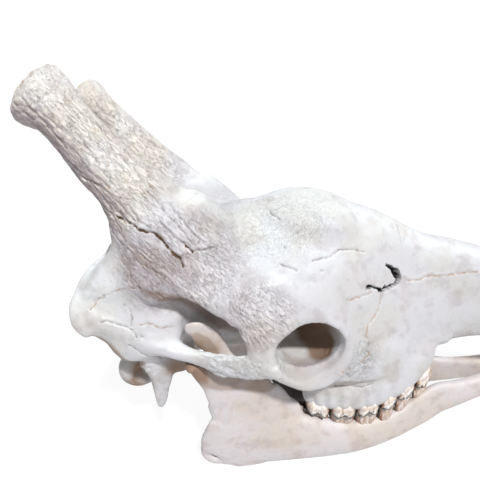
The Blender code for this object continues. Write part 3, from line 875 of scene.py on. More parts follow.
# Stations along the cheek teeth: the edges between the crowns, the lobes of each, and the upper sockets' rim
TOOTH_EDGES = [277, 308, 341, 372, 395, 421, 444]
TOOTH_LOBES = [2, 2, 2, 1, 1, 1]
UPPER_SOCKET = [(277, 12), (308, 9), (341, 8), (372, 10), (395, 16), (422, 26), (446, 37)]


def cusp_phase(x):
    """Number of lobes of the cheek teeth behind x, so that it is whole between two lobes."""
    crowns = zip(TOOTH_EDGES, TOOTH_EDGES[1:], TOOTH_LOBES)
    edges = [edge for back, front, lobes in crowns for edge in np.linspace(back, front, lobes + 1)[:-1]]
    return np.interp(x, edges + TOOTH_EDGES[-1:], np.arange(len(edges) + 1))


def relief(p, n):
    """Height of the texture: ridged ossicones, rough knobs, a granular roof, rough cheeks and arches."""
    horn, knob, flank = horn_share(p), knob_share(p), flank_share(p)
    drawn = np.maximum(horn * (1 - knob), flank) * (0.38 + 0.62 * rise(-n[:, 2] - 0.6 * n[:, 0], -0.4, 0.35))
    skull_foot = patch(p, (84, 62, 84), (34, 26, 40))
    arch, cheek = arch_share(p), cheek_share(p)
    squama = patch(p, (88, 74, 118), (56, 40, 46))
    gum = rise(20 - np.abs(p[:, 2] - level(UPPER_SOCKET, p[:, 0]) - 8), 0, 12) * rise(np.abs(p[:, 1]), 44, 54)
    gum *= rise(p[:, 0], 276, 284) * rise(446 - p[:, 0], 0, 8)
    height = 0.8 * grain(p, 24, 1) + 0.3 * grain(p, 9, 22) + 0.12 * grain(p, 4, 2)
    height += drawn * (0.7 * grain(p, 6, 3, SHAFT, 5) + 0.3 * grain(p, 2.4, 4, SHAFT, 4))
    height += drawn * (crevices(grain(p, 11, 14, SHAFT, 7), 0.06)
                       + 0.9 * crevices(grain(p, 6, 15, SHAFT, 6), 0.07))
    height += knob * (grain(p, 8, 5) + 0.7 * grain(p, 3.4, 6) + 0.8 * crevices(grain(p, 7, 16), 0.12))
    height += crown_share(p) * (0.25 * grain(p, 2.6, 9) + 0.35 * grain(p, 7, 10))
    height += cheek * (2.0 * grain(p, 7, 12) + 1.2 * grain(p, 3, 13) + 1.2 * crevices(grain(p, 8, 17), 0.1))
    height += skull_foot * (3.0 * grain(p, 11, 18) + 1.5 * grain(p, 4.5, 19))
    height += squama * (0.9 * grain(p, 13, 24, (1, 0, -0.2), 2) + 0.5 * grain(p, 5, 25, (1, 0, -0.2), 2))
    height += arch * (2.0 * grain(p, 7, 20, (1, 0, 0.2), 2.5) + 1.1 * grain(p, 3.2, 21))
    height += 1.2 * arch * crevices(grain(p, 8, 23, (1, 0, -0.2), 4), 0.09)
    height += gum * 0.9 * np.cos(2 * math.pi * cusp_phase(p[:, 0]))
    return height


def groove(distance, width, depth, lip):
    """Bell-shaped groove between lips: lip * exp(-(|q| - 2.2) ** 2) - depth * exp(-q * q), q in widths."""
    q = np.abs(distance) / width
    return -depth * np.exp(-q ** 2) + lip * np.exp(-(q - 2.2) ** 2)


def marked(p, n):
    """Height of the marks: grooves at the cracks and furrows, stepped sutures, torn holes and pits."""
    crack, furrow, suture = (away(p, n, lines, 6) for lines in (cracks, furrows, sutures))
    height = groove(crack, 1.3, 1.7, 0.4)
    height += groove(furrow, 1.2, 1.0, 0.12)
    height += -0.7 * np.exp(-(suture / 1.3) ** 2) + 0.35 * rise(suture, 0, 3) * rise(6 - suture, 0, 3)
    height += -9 * rise(opened(p, rents), -0.5, 0.9)
    for pit in pits:
        height -= 1.5 * np.exp(-(((p - pit) ** 2).sum(1)) / 2.4)
    return height


def carved(obj, shape):
    """Moves every point along its normal by the shape's height."""
    p, n = points_of(obj), normals_of(obj)
    set_points(obj, p + n * shape(p, n)[:, None])


carved(skull, relief)
shell = BVHTree.FromObject(skull, bpy.context.evaluated_depsgraph_get())
cracks = marks(shell, CRACKS, 11, 0.7)
furrows = marks(shell, FURROWS, 111, 0.7)
sutures = marks(shell, SUTURES, 211, 1.3)
rents = marks(shell, RENTS, 411, 1.8)
near_pits = on_surface(shell, PITS)
pits = np.vstack([near_pits, snapped(shell, near_pits * (1, -1, 1))[:, :3]])
carved(skull, marked)


# Materials of the dry skull: bone and tooth, cleaned, dried and bleached by the sun. Each takes its broad
# tints from noise in the piece's own space, and its marks from attributes that hold how far the nearest crack
# or suture is and how stained the place is. Further attributes hold painted light and shade: how much of the
# lit top colour a place takes, its painted shade, and the deep painted shade in holes, pits and gaps.
def add(tree, kind, inputs=(), output=0, **settings):
    """A node with its settings, each input joined to a socket or set to a value; gives one of its outputs."""
    node = tree.nodes.new("ShaderNode" + kind)
    for key, value in settings.items():
        setattr(node, key, value)
    for key, value in inputs.items() if isinstance(inputs, dict) else enumerate(inputs):
        if isinstance(value, bpy.types.NodeSocket):
            tree.links.new(value, node.inputs[key])
        else:
            node.inputs[key].default_value = value
    return node.outputs[output]


def product(tree, *values):
    """The values multiplied together.

    A tuple (value, low, high, start, end) is a value between low and high turned smoothly into one between
    start and end, which are 0 and 1 where it doesn't say.
    """
    result = 1.0
    for value in values:
        if isinstance(value, tuple):
            value = add(tree, "MapRange", value, interpolation_type="SMOOTHSTEP")
        result = add(tree, "Math", (result, value), operation="MULTIPLY")
    return result


def total(tree, *terms):
    """The sum of the terms, each a product of its values."""
    result = 0.0
    for term in terms:
        result = add(tree, "Math", (result, product(tree, *term)), operation="ADD")
    return result


def layered(tree, ground, *layers):
    """The ground with layers laid over it in turn, each as strongly as the product of its values says.

    A layer holds its colour, how it is blended and those values.
    """
    for colour, blend, *values in layers:
        colour = linear(colour) if isinstance(colour, str) else colour
        share = product(tree, *values)
        ground = add(tree, "Mix", {0: share, 6: ground, 7: colour}, 2, data_type="RGBA", blend_type=blend)
    return ground


def crease(tree, value, width):
    """1 on the winding lines where the noise passes 0.5, falling to 0 at `width` to either side."""
    offset = add(tree, "Math", (value, 0.5), operation="SUBTRACT")
    return product(tree, (add(tree, "Math", (offset,), operation="ABSOLUTE"), width, 0))


def blank(name):
    """A new material and its shader."""
    material = bpy.data.materials.new(name)
    material.use_nodes = True
    return material, material.node_tree.nodes["Principled BSDF"]


def finished(tree, shader, ground, roughness, height, strength, distance):
    """Joins the colour and the fine relief, `distance` metres high, to the shader."""
    tree.links.new(ground, shader.inputs["Base Color"])
    shader.inputs["Roughness"].default_value = roughness
    normal = add(tree, "Bump", {"Strength": strength, "Distance": distance, "Height": height})
    tree.links.new(normal, shader.inputs["Normal"])


def bone(name, palette, roughness=0.62):
    """Dry bone: smooth, drawn into furrows where the attribute `drawn` is 1, gritty where `grit` is 1.

    The palette turns to that of dense bone where `dense` is 1, and from its shaded side colour to its lit top
    colour with the painted light; painted shade darkens it and deep painted shade blackens it. Each noise has
    its place, the size of its blotches in millimetres, its detail and its roughness. The pores are drawn
    coarser than real, to show.
    """
    material, shader = blank(name)
    tree = material.node_tree
    place = add(tree, "TexCoord", output="Object")
    lean = add(tree, "VectorRotate", {"Vector": place, "Angle": SHAFT_LEAN}, rotation_type="Y_AXIS")
    along = add(tree, "Mapping", {"Vector": lean, "Scale": (1.0, 1.0, 0.22)})
    broad, clouds, middle, breaks, gaps, rough, fine, porous, streaks, ridges, threads = (
        add(tree, "TexNoise",
            {"Vector": where, "Scale": 1 / (size * MM), "Detail": detail, "Roughness": grade})
        for where, size, detail, grade in (
            (place, 60, 2, 0.55),
            (place, 28, 4, 0.55),
            (place, 14, 4, 0.55),
            (place, 8, 3, 0.55),
            (place, 6, 3, 0.55),
            (place, 4.5, 3, 0.62),
            (place, 2.2, 4, 0.68),
            (place, 1.4, 2, 0.5),
            (along, 2.6, 5, 0.66),
            (along, 6, 4, 0.66),
            (along, 3, 4, 0.66),
        ))
    names = ("drawn", "grit", "painted_light", "dense", "stain", "shade", "deep_shade", "crack", "furrow", "suture")
    drawn, grit, painted_light, dense, stain, shade, deep_shade, crack, furrow, suture = (
        add(tree, "Attribute", output="Fac", attribute_name=key) for key in names)
    # top and side are lit and shaded copies of each palette: painted light and shade
    top, side, cream, ochre = (
        layered(tree, linear(dry), (hard, "MIX", dense)) for dry, hard in zip(palette, DENSE))
    creases = add(tree, "Math", (crease(tree, ridges, 0.014), crease(tree, threads, 0.018)),
                  operation="MAXIMUM")
    wrinkles = product(tree, crease(tree, rough, 0.03), grit)
    uneven = total(tree, (crack,), ((breaks, 0.35, 0.65, -0.6, 0.6),))
    patchy = (gaps, 0.38, 0.6, 0.15, 1)
    ground = layered(
        tree, side,
        (top, "MIX", painted_light),
        (cream, "MULTIPLY", (broad, 0.42, 0.62)),
        ("#F6F7F8", "MULTIPLY", (middle, 0.48, 0.66)),
        ("#F7F3F2", "MULTIPLY", (clouds, 0.5, 0.64)),
        (ochre, "MIX", (fine, 0.6, 0.8, 0, 0.12)),
        # Grey streaks and dark creases on the drawn bone, partly painted shade: both are stronger on the
        # shaded side and fainter with the painted light
        ("#978D8F", "MIX", drawn, (painted_light, 0, 1, 0.55, 0.2), (streaks, 0.46, 0.28)),
        ("#73655F", "MIX", creases, drawn, (middle, 0.35, 0.6, 0.3, 1), (painted_light, 0, 1, 1, 0.5)),
        ("#8E8078", "MIX", wrinkles, 0.3),
        (ochre, "MIX", stain, (middle, 0.3, 0.7, 0.35, 1)),
        ("#A07E5C", "MIX", 0.6, (suture, 1.7, 0.6), patchy),
        ("#5E4C40", "MIX", 0.55, (furrow, 1.4, 0.6), patchy),
        ("#5C4734", "MIX", (uneven, 1.8, 0.9)),
        # Painted shade, grey-brown, in the fossa, the orbit and other sheltered places
        ("#7E614A", "MIX", shade),
        # Deep painted shade, near black, in holes, pits and gaps
        ("#0E0907", "MIX", deep_shade))
    height = total(
        tree,
        (total(tree, (fine,), (0.16, (porous, 0.3, 0.5))), total(tree, (grit,), (0.2,))),
        (wrinkles, -0.35),
        ((streaks, 0.3, 0.6, 0, 0.45), drawn),
        (creases, drawn, -0.5))
    shader.inputs["Specular IOR Level"].default_value = 0.3
    finished(tree, shader, ground, roughness, height, 1.0, MM)
    return material


def enamel():
    """Tooth enamel and dentine: glossy ivory crowns, streaked with tan, with deep painted shade in the gaps
    and at the bite.
    """
    material, shader = blank("tooth enamel")
    tree = material.node_tree
    place = add(tree, "TexCoord", output="Object")
    streaks = add(tree, "Mapping", {"Vector": place, "Scale": (1.0, 1.0, 0.3)})
    blotch, cloud = (
        add(tree, "TexNoise",
            {"Vector": where, "Scale": 1 / (size * MM), "Detail": detail, "Roughness": grade})
        for where, size, detail, grade in ((streaks, 3.2, 4, 0.6), (place, 9, 3, 0.55)))
    stain, deep_shade = (add(tree, "Attribute", output="Fac", attribute_name=key) for key in ("stain", "deep_shade"))
    ground = layered(
        tree, linear("#E4E0DE"),
        ("#DACFC0", "MIX", (cloud, 0.4, 0.65)),
        ("#A87848", "MIX", (blotch, 0.52, 0.7, 0, 0.7)),
        ("#80502A", "MIX", stain, (blotch, 0.3, 0.6, 0.4, 1)),
        # Deep painted shade in the gaps and along the bite
        ("#17110D", "MIX", deep_shade))
    shader.inputs["Coat Weight"].default_value = 0.2
    finished(tree, shader, ground, 0.32, blotch, 0.35, 0.8 * MM)
    return material


# Palettes: the lit top and the shaded sides, lit and shaded copies of one colour that paint light and shade,
# then the tint of the clouds and the ochre of stained spots. The first is that of spongy bone, the second
# that of the dense bone of the ossicones, the third that of the jaw.
CHALKY = ("#E2E6E9", "#C2C1C4", "#FAF9F3", "#B08C62")
DENSE = ("#ECEAE7", "#BDB5BD", "#FBF8F0", "#B98A4C")
IVORY = ("#D5D0D0", "#C4BEBF", "#FBF6EB", "#B29872")
# Bleached skull bone: chalky and cool white, cream where the fat was, furrowed towards the ossicones
SKULL_BONE = bone("skull bone", CHALKY)
# Ossicone bone: grown dense, coarse and furrowed, so paler and yellower, with earth on its knobs and dark
# creases, partly painted shade, in its furrows
HORN_BONE = bone("ossicone bone", CHALKY)
# Jaw bone: smoother and more ivory, its faintly lilac side colour a painted shade
JAW_BONE = bone("jaw bone", IVORY, 0.5)
# Enamel: harder than bone and worn smooth, so it alone shines, and it holds the brown of the chewed plants
ENAMEL = enamel()


# Angle in degrees from which an edge is drawn sharp, as where a piece was cut
SHARP_ANGLE = 62


def attribute(mesh, name, values):
    """Stores one number at each point of the mesh."""
    layer = mesh.attributes.new(name, "FLOAT", "POINT")
    layer.data.foreach_set("value", np.asarray(values, np.float32))


def painted_light_share(p, n):
    """Painted light: 1 where the bone takes its lit top colour, on upward faces, the brow, and the ossicones
    and their flanks, and 0 where it keeps its shaded side colour.
    """
    x, z = p[:, 0], p[:, 2]
    ahead, up = n[:, 0], n[:, 2]
    nape = rise(96 - x, 0, 40) * rise(z, 150, 185) * (1 - horn_share(p))
    out = np.maximum(rise(up, 0.3, 1.0) * (1 - patch(p, (284, 104, 84), (70, 34, 30))), 0.6 * nape)
    out *= 1 - 0.6 * rise(x, 290, 350) * rise(up, 0.7, 0.95)
    out *= 1 - 0.6 * patch(p, (165, 5, 250), (90, 62, 50))
    out = np.maximum(out, patch(p, (258, 60, 116), (40, 56, 50)))
    out = np.maximum(out, horn_share(p) * rise(up + 0.6 * ahead, -0.55, 0.35))
    return np.maximum(out, 0.45 * flank_share(p) * rise(up + 0.4 * ahead, -0.3, 0.4))


def dress(obj, name, node, material, stain=None, deep_shade=None, shade=None):
    """Gives a piece its name, attributes, material and smooth shading, and puts it in its node's place."""
    obj.name = name
    obj.data.name = name
    p, n = points_of(obj), normals_of(obj)
    horn, knob, flank = horn_share(p), knob_share(p), flank_share(p)
    for key, lines, depth in (("crack", cracks, 0.9), ("furrow", furrows, 0.5), ("suture", sutures, 0.3)):
        attribute(obj.data, key, np.abs(away(p, n, lines, 6, depth)))
    # Painted light: the share of the lit top colour at each point
    attribute(obj.data, "painted_light", painted_light_share(p, n))
    attribute(obj.data, "dense", np.maximum(horn, 0.7 * flank))
    attribute(obj.data, "drawn", np.maximum(horn * (1 - 0.7 * knob), 0.85 * flank))
    rough = np.maximum(0.6 * np.maximum(horn, arch_share(p)), cheek_share(p))
    attribute(obj.data, "grit", np.maximum.reduce([knob, 0.7 * crown_share(p), rough, 0.15 + 0 * knob]))
    # The stain is the bone's own colour; the other two attributes are deep painted shade and painted shade
    for key, values in (("stain", stain), ("deep_shade", deep_shade), ("shade", shade)):
        attribute(obj.data, key, values(p, n) if values else np.zeros(len(p)))
    obj.data.materials.clear()
    obj.data.materials.append(material)
    obj.data.shade_smooth()
    obj.data.set_sharp_from_angle(angle=math.radians(SHARP_ANGLE))
    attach(obj, "root")
    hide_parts(node)


def painted_hole_shade(p, n):
    """Deep painted shade: 1 inside the torn holes, nearly as much in the pits, and much in the choana and on
    the pterygoid plates behind the teeth.
    """
    dark = rise(opened(p, rents), -0.5, 0.5)
    for pit in pits:
        dark = np.maximum(dark, 0.8 * np.exp(-((p - pit) ** 2).sum(1) / 1.6))
    # Deep painted shade on the choana and pterygoid plates seen between the jaws
    gullet = rise(60 - np.abs(p[:, 1]), 0, 20) * patch(p, (258, 20, 10), (60, 60, 75))
    return np.clip(np.maximum(dark, 0.9 * gullet), 0, 1)


def earth(p, n):
    """Ochre on the upper side of the knobs and in flecks along the shafts."""
    knob = knob_share(p) * rise(n[:, 2] - n[:, 0], 0.1, 1.2)
    flecks = horn_share(p) * rise(grain(p, 3.4, 51), 0.3, 0.6) * rise(grain(p, 24, 53), 0.0, 0.35)
    blotches = rise(grain(p, 3.2, 52) + grain(p, 14, 55), 0.1, 0.8)
    return np.clip(0.6 * knob * blotches + 0.5 * flecks, 0, 1)


# Edges of the brain case's roof over the fossa and of its wall over the neck, as (x, height) stations, and
# how far the painted shade reaches down from the first
ROOF_EDGE = [(42, 169), (66, 192), (91, 199), (125, 195), (157, 184), (182, 169), (205, 147), (220, 120)]
EAVES = [(30, 134), (40, 131), (56, 117), (62, 107), (73, 97), (88, 91)]
SHADE_REACH = [(90, 0), (110, 10), (133, 26), (150, 40), (175, 60), (220, 60)]


def shadowed(p, n):
    """Painted shade, grey-brown: in the temporal fossa under the roof's edge, in the orbit, at the skull's
    foot, and on faces that turn down or back.
    """
    x, inner, z = p[:, 0], np.abs(p[:, 1]), p[:, 2]
    under_roof = level(ROOF_EDGE, x) - z
    band = rise(under_roof, 0, 5) * rise(level(SHADE_REACH, x) - under_roof, -6, 4) * rise(104 - inner, 0, 14)
    band *= rise(x, 92, 112) * rise(232 - x, 0, 14)
    band *= 1 - 0.25 * rise(x, 165, 190)
    socket = patch(p, (280, 50, 112), (52, 58, 48)) * rise(104 - inner, 0, 14)
    socket *= 0.9 * rise(x + 0.6 * (80 - inner), 288, 304)
    pocket = patch(p, (302, 72, 90), (26, 26, 22))
    orbit_floor = patch(p, (266, 68, 86), (36, 42, 22))
    below_orbit = patch(p, (284, 104, 88), (60, 30, 26))
    recess = patch(p, (70, 52, 50), (24, 26, 34))
    vessel_bed = patch(p, (116, 50, 70), (30, 30, 26))
    under = rise(-n[:, 2], 0.2, 0.9) * rise(80 - z, 0, 40)
    eaves = rise(level(EAVES, x) - z, -4, 2) * rise(86 - x, 0, 8) * rise(z, 72, 84) * rise(inner, 40, 52)
    rear = rise(-0.8 * n[:, 0] - 0.5 * n[:, 2], 0.2, 0.95) * rise(z, 222, 250)
    flank = patch(p, (122, 84, 212), (62, 34, 40)) * rise(grain(p, 9, 54, SHAFT, 4), -0.5, 0.3)
    condyle = patch(p, (48, 36, 38), (32, 32, 26)) * rise(-n[:, 2], -0.3, 0.5)
    # Blotches of painted shade about the condyles and the paroccipital processes
    mottled_shade = patch(p, (78, 58, 52), (40, 34, 52)) * rise(grain(p, 7, 56), -0.1, 0.5)
    sheltered = (0.5 * under + 0.3 * mottled_shade + 0.7 * eaves + 0.16 * rear + 0.36 * flank + 0.4 * orbit_floor
                 + 0.18 * below_orbit + 0.6 * condyle)
    return np.clip(0.62 * band + socket + pocket + recess + vessel_bed + sheltered, 0, 0.92)


# Ossicones and nasals: bones of their own, joined to the frontal by rough seams that close with age. They are
# parted from the finished shell, so that its surface runs on: the ossicones along a slope at their feet, in
# degrees, and the nasals ahead of the frontal and above the long suture of the snout.
FOOT_SLOPE = 24.0
NASAL_BACK, NASAL_SUTURE = 402.0, 157.0
CRANIUM_TRIANGLES, HORN_TRIANGLES, NASAL_TRIANGLES = 192000, 70000, 20000


def foot_slab(low, high):
    """Block in the frame of the ossicones' feet, whose z = 0 is the sloping cut."""
    verts, faces = box(low, high)
    c, s = math.cos(math.radians(FOOT_SLOPE)), math.sin(math.radians(FOOT_SLOPE))
    return verts @ np.array([[c, 0, -s], [0, 1, 0], [s, 0, c]]).T + FOOT_POINT, faces


def copy_of(obj):
    """A second object with its own mesh."""
    return placed(obj.name, obj.data.copy())


for name, across in (("ossicone_right", (0, 300)), ("ossicone_left", (-300, 0))):
    horn = copy_of(skull)
    cut(horn, [foot_slab((-400, -300, -400), (300, 300, JOINT_GAP / 2))])
    cut(horn, [box((-200, across[0], 0), (800, across[1], 800))])
    thinned(largest(horn), HORN_TRIANGLES)
    dress(horn, name + "_bone", name, HORN_BONE, earth, painted_hole_shade, shadowed)

for name, middle in (("nasal_right", (-JOINT_GAP / 2, 300)), ("nasal_left", (-300, JOINT_GAP / 2))):
    nasal = copy_of(skull)
    cut(nasal, [box((-200, -300, -200), (NASAL_BACK + JOINT_GAP, 300, 800))])
    cut(nasal, [box((-200, -300, -200), (900, 300, NASAL_SUTURE + JOINT_GAP))])
    cut(nasal, [box((-200, middle[0], -200), (900, middle[1], 800))])
    thinned(largest(nasal), NASAL_TRIANGLES)
    dress(nasal, name + "_bone", name, SKULL_BONE, earth, painted_hole_shade, shadowed)


# Premaxillae: slim bars of bone that carry the muzzle forward past the nasal opening and spread at the tip.
# Each lies in a bed cut into the maxilla, and what is left of the shell is the cranium itself.
def premaxilla(grow=0.0):
    """Right premaxilla as a tube, `grow` millimetres thicker all round where it cuts its own bed."""
    return tube([
        (526, -25, 96, 3, 14),
        (540, -26, 92, 4.5, 24),
        (556, -27, 84, 6, 28),
        (574, -27, 73, 7.5, 25),
        (592, -26, 61, 9, 20),
        (610, -25, 50, 10.5, 15),
        (630, -24, 38, 13.5, 11),
        (645, -22, 30, 14.5, 7.5),
    ], sides=48, steps=6, power=2.3, grow=grow)


cut(skull, [foot_slab((-400, -300, -JOINT_GAP / 2), (300, 300, 400))])
cut(skull, [box((NASAL_BACK, -200, NASAL_SUTURE), (900, 200, 800))])
cut(skull, both([premaxilla(1.0)]))
thinned(largest(skull), CRANIUM_TRIANGLES)
dress(skull, "cranium_bone", "cranium", SKULL_BONE, earth, painted_hole_shade, shadowed)

for name, turn in (("premaxilla_right", lambda s: s), ("premaxilla_left", mirrored)):
    bar = remeshed(piece("premaxilla", [turn(premaxilla())]), VOXEL)
    filleted(bar, 3, lambda p: 0.7)
    carved(bar, lambda p, n: 0.35 * grain(p, 12, 61) + 0.2 * grain(p, 3.5, 62, (1, 0, -0.4), 3))
    dress(bar, name + "_bone", name, SKULL_BONE)


# Lower jaw: two halves that meet in a flat symphysis, smooth ivory bone with a thick rim round the angle.
# Each is one skin over a body, a ramus and the bars along its edges, cut flat below where it rests.
JAW_VOXEL = 2.2


def jaw_shapes():
    """Right half: body, ramus with its angle, neck and condyle, and the thin coronoid blade."""
    body = tube([
        (176, -82, -44, 8.5, 35),
        (205, -80, -41, 9.5, 37),
        (240, -76, -41, 11, 39),
        (270, -71, -47, 14, 35),
        (306, -65, -55, 15, 29),
        (333, -61, -58, 15, 26.5),
        (360, -56, -58, 14, 24.5),
        (385, -51, -55, 12.5, 23),
        (410, -45, -49, 11, 23),
        (440, -37, -38, 9.5, 25),
        (460, -31, -30.5, 9, 25),
        (490, -25, -27.5, 9.5, 19.5),
        (514, -20, -23, 10, 17),
        (545, -15, -16, 13, 14.5),
        (575, -15, -8, 16, 11.5),
        (602, -18, 0, 19, 9),
        (618, -20, 5, 20.5, 7.5),
    ], sides=48, power=2.3, ends=(1.0, 0.6))
    ramus = tube([
        (176, -81, -77, 5, 16),
        (184, -81, -64, 7.5, 44),
        (191, -81, -45, 8, 56),
        (202, -81, -25, 8, 57),
        (209, -81, -8, 7.5, 56.5),
        (207, -81, 10, 7, 52),
        (198, -82, 26, 7, 44),
        (194, -83, 43, 6.5, 41.5),
        (183, -84, 62, 6, 34.5),
        (172, -86, 78, 6, 26),
    ], up=(1, 0.16, 0), sides=48, power=2.8, ends=(0.6, 0.6))
    neck = tube([
        (166, -86, 62, 7, 17),
        (155, -86, 78, 8, 13.5),
        (147, -84, 87, 14, 9),
    ], up=(1, 0, 0), power=2.6)
    condyle = ball((144, -82, 89.5), (9.5, 20, 7))
    coronoid = tube([
        (196, -85, 60, 5.5, 22),
        (186, -83, 80, 5, 17),
        (177, -81, 97, 4.6, 15),
        (171, -80, 111, 4.3, 16),
        (163, -79, 122, 4, 17),
        (152, -78, 131, 3.6, 13),
        (142, -78, 135, 3.2, 7),
    ], up=(1, 0, 0))
    heel = tube([
        (238, -70, 15, 6, 9),
        (249, -70, 10, 6.5, 12),
        (257, -69, 0, 7, 14),
        (262, -68, -17, 8, 14),
        (266, -67, -29, 9, 15),
        (268, -67, -41, 9, 14),
    ], up=(1, 0, 0.6))
    rim = tube([
        (168, -81, 10, 2, 2.5),
        (158, -82, -8, 2.5, 3),
        (151, -84, -23, 4, 4),
        (143, -85, -37, 5, 5),
        (142, -85, -52, 5.5, 6),
        (150, -84, -65, 5.5, 6),
        (166, -82, -73, 4, 3),
    ], up=(1, 0, 0))
    return [body, ramus, heel, neck, condyle, coronoid, rim]


def jaw_relief(p, n):
    """Soft waves, a fine grain along the body, and a roughened angle for the muscle's hold."""
    angle = patch(p, (160, 84, -52), (55, 30, 45))
    return (0.4 * grain(p, 20, 71) + 0.16 * grain(p, 4, 72, (1, 0.1, 0), 4)
            + angle * (0.6 * grain(p, 6, 73, (0.7, 0, 0.7), 2) + 0.3 * grain(p, 2.8, 74)))


# Where the arch's shadow ends on the ramus, as (x, height) stations, and the blade's front edge, as
# (height, x)
ARCH_SHADOW = [(140, 62), (156, 58), (175, 51), (198, 50), (218, 40), (233, 38), (243, 44)]
BLADE_EDGE = [(60, 218), (80, 203), (97, 192), (111, 187), (122, 180), (131, 165), (138, 150)]


def jaw_shade(p, n):
    """Painted shade on the neck and in the arch's shadow on the ramus, and darker on the blade behind its
    front edge.
    """
    x, z = p[:, 0], p[:, 2]
    neck = rise(z, 50, 72) * rise(172 - x, 0, 14) * rise(112 - z, 0, 12)
    sheltered = rise(z - level(ARCH_SHADOW, x), -2, 4) * rise(96 - z, 0, 14)
    back = rise(level(BLADE_EDGE, z) - x, 9, 14) * rise(z, 84, 94)
    below_top = rise(132 - z - 0.3 * (152 - x), 0, 5)
    return np.clip(np.maximum.reduce([0.9 * neck, 0.55 * sheltered, 0.5 * back * below_top]), 0, 0.9)


def jaw_stain(p, n):
    """Ivory on the rim behind the last tooth and in stripes down the ramus."""
    rim = patch(p, (262, 66, -14), (34, 20, 36))
    stripes = patch(p, (180, 82, 10), (44, 30, 60)) * rise(grain(p, 7, 75, (0.3, 0, 1), 5), 0.0, 0.4)
    blade = patch(p, (165, 79, 108), (36, 16, 30))
    return np.clip(0.4 * rim + 0.3 * stripes + 0.6 * blade, 0, 1)


JAW_TRIANGLES = 110000
jaw = piece("jaw", jaw_shapes())
remeshed(jaw, JAW_VOXEL)
filleted(jaw, 22, lambda p: 0.1)
largest(remeshed(jaw, VOXEL))
filleted(jaw, 4, lambda p: 0.5)
carved(jaw, jaw_relief)
cut(jaw, [box((-200, -300, FLOOR - 60), (900, 300, FLOOR))])
cut(jaw, [box((-200, -JOINT_GAP / 2, -200), (900, 300, 300))])
thinned(largest(jaw), JAW_TRIANGLES)
far_jaw = copy_of(jaw)
set_points(far_jaw, points_of(far_jaw) * (1, -1, 1))
far_jaw.data.flip_normals()
for half, side in ((jaw, "right"), (far_jaw, "left")):
    dress(half, f"jaw_{side}_bone", f"mandible_{side}", JAW_BONE, jaw_stain, None, jaw_shade)


# Teeth: enamel crowns in bony sockets. A cheek tooth is a ring of two crescents (one in a premolar), ribbed
# on its outer face, carried from the socket to a zigzag biting edge and closed by a worn, hollow table.
MOLAR_WIDTH, PREMOLAR_WIDTH = 27.0, 21.0
UPPER_CHEEK = [(277, 73), (308, 78), (341, 78), (372, 73), (395, 66), (422, 54), (446, 46)]
BITE_LINE = [(277, -8), (308, -13), (341, -14), (372, -12), (395, -4), (422, 3), (446, 14)]
LOWER_SOCKET = [(277, -19), (308, -28), (341, -32), (372, -33), (395, -28), (422, -19), (446, -9)]
BITE_GAP, CUSP, ROOT = 1.8, 4.0, 8.0
# Third lobe of the last lower molar: its ends along x, the middle across, the width
THIRD_LOBE = (262.5, 281.0, -57.0, 16.0)
# Share of a crown's height and of its full width, ring by ring, then the rings of its table: share and drop
CROWN_RINGS = ((0, 0.74), (0.25, 0.83), (0.45, 0.93), (0.6, 1.0), (0.74, 1.0), (0.82, 0.99), (0.9, 0.97),
               (0.96, 0.95), (1.0, 0.93))
TABLE_RINGS = ((0.8, 0.1), (0.62, 1.4), (0.4, 1.2), (0.2, 0.4))
# Front teeth: how far out each stands from the middle, and its half width
INCISORS = ((5.4, 4.9), (15.4, 4.9), (25.2, 4.6), (34.6, 5.4))


def crown(back, front, lobes, width, middle, root, bite):
    """One cheek tooth.

    Outline: x = L * sgn(c) * |c| ** 0.75 and y = W * sgn(s) * |s| ** 0.7, drawn in by a waist between the
    lobes and lifted by a rib at each lobe. Rings rise from `root` to `bite`, both functions of x, and the
    table is closed by rings that shrink and sink.
    """
    angle = turn_of(96)
    half = (front - back) / 2
    x, y = bent(np.cos(angle), 0.75), bent(np.sin(angle), 0.7)
    wave = np.cos(math.pi * lobes * (x + 1))
    waist = 1 - 0.1 * (wave > 0) * wave * (lobes > 1)
    rib = 0.05 * np.cos(4 * math.pi * lobes * (x + 1) / 2) * np.sign(y)
    y = y * waist + rib
    rings = []
    for t, scale in CROWN_RINGS:
        px = (back + front) / 2 + x * half * scale
        z = (1 - t) * root(px) + t * bite(px)
        rings.append(np.stack([px, middle(px) + y * width / 2 * scale, z], -1))
    sink = np.sign(rings[0][:, 2].mean() - rings[-1][:, 2].mean())
    for scale, drop in TABLE_RINGS:
        px = (back + front) / 2 + x * half * scale
        rings.append(np.stack([px, middle(px) + y * width / 2 * scale, bite(px) + sink * drop], -1))
    return loft(np.array(rings))


def zigzag(x):
    """The biting line with a cusp to each lobe: its mean level plus a wave that peaks between the lobes."""
    return level(BITE_LINE, x) + CUSP * (np.abs(2 * (cusp_phase(x) % 1) - 1) - 0.5)


def upper_root(x):
    """Height at which the upper crowns begin, inside their sockets."""
    return level(UPPER_SOCKET, x) + ROOT


def lower_root(x):
    """Height at which the lower crowns begin, inside their sockets."""
    return level(LOWER_SOCKET, x) - ROOT


def lower_bite(x):
    """Height of the lower row's biting edge."""
    return zigzag(x) - BITE_GAP


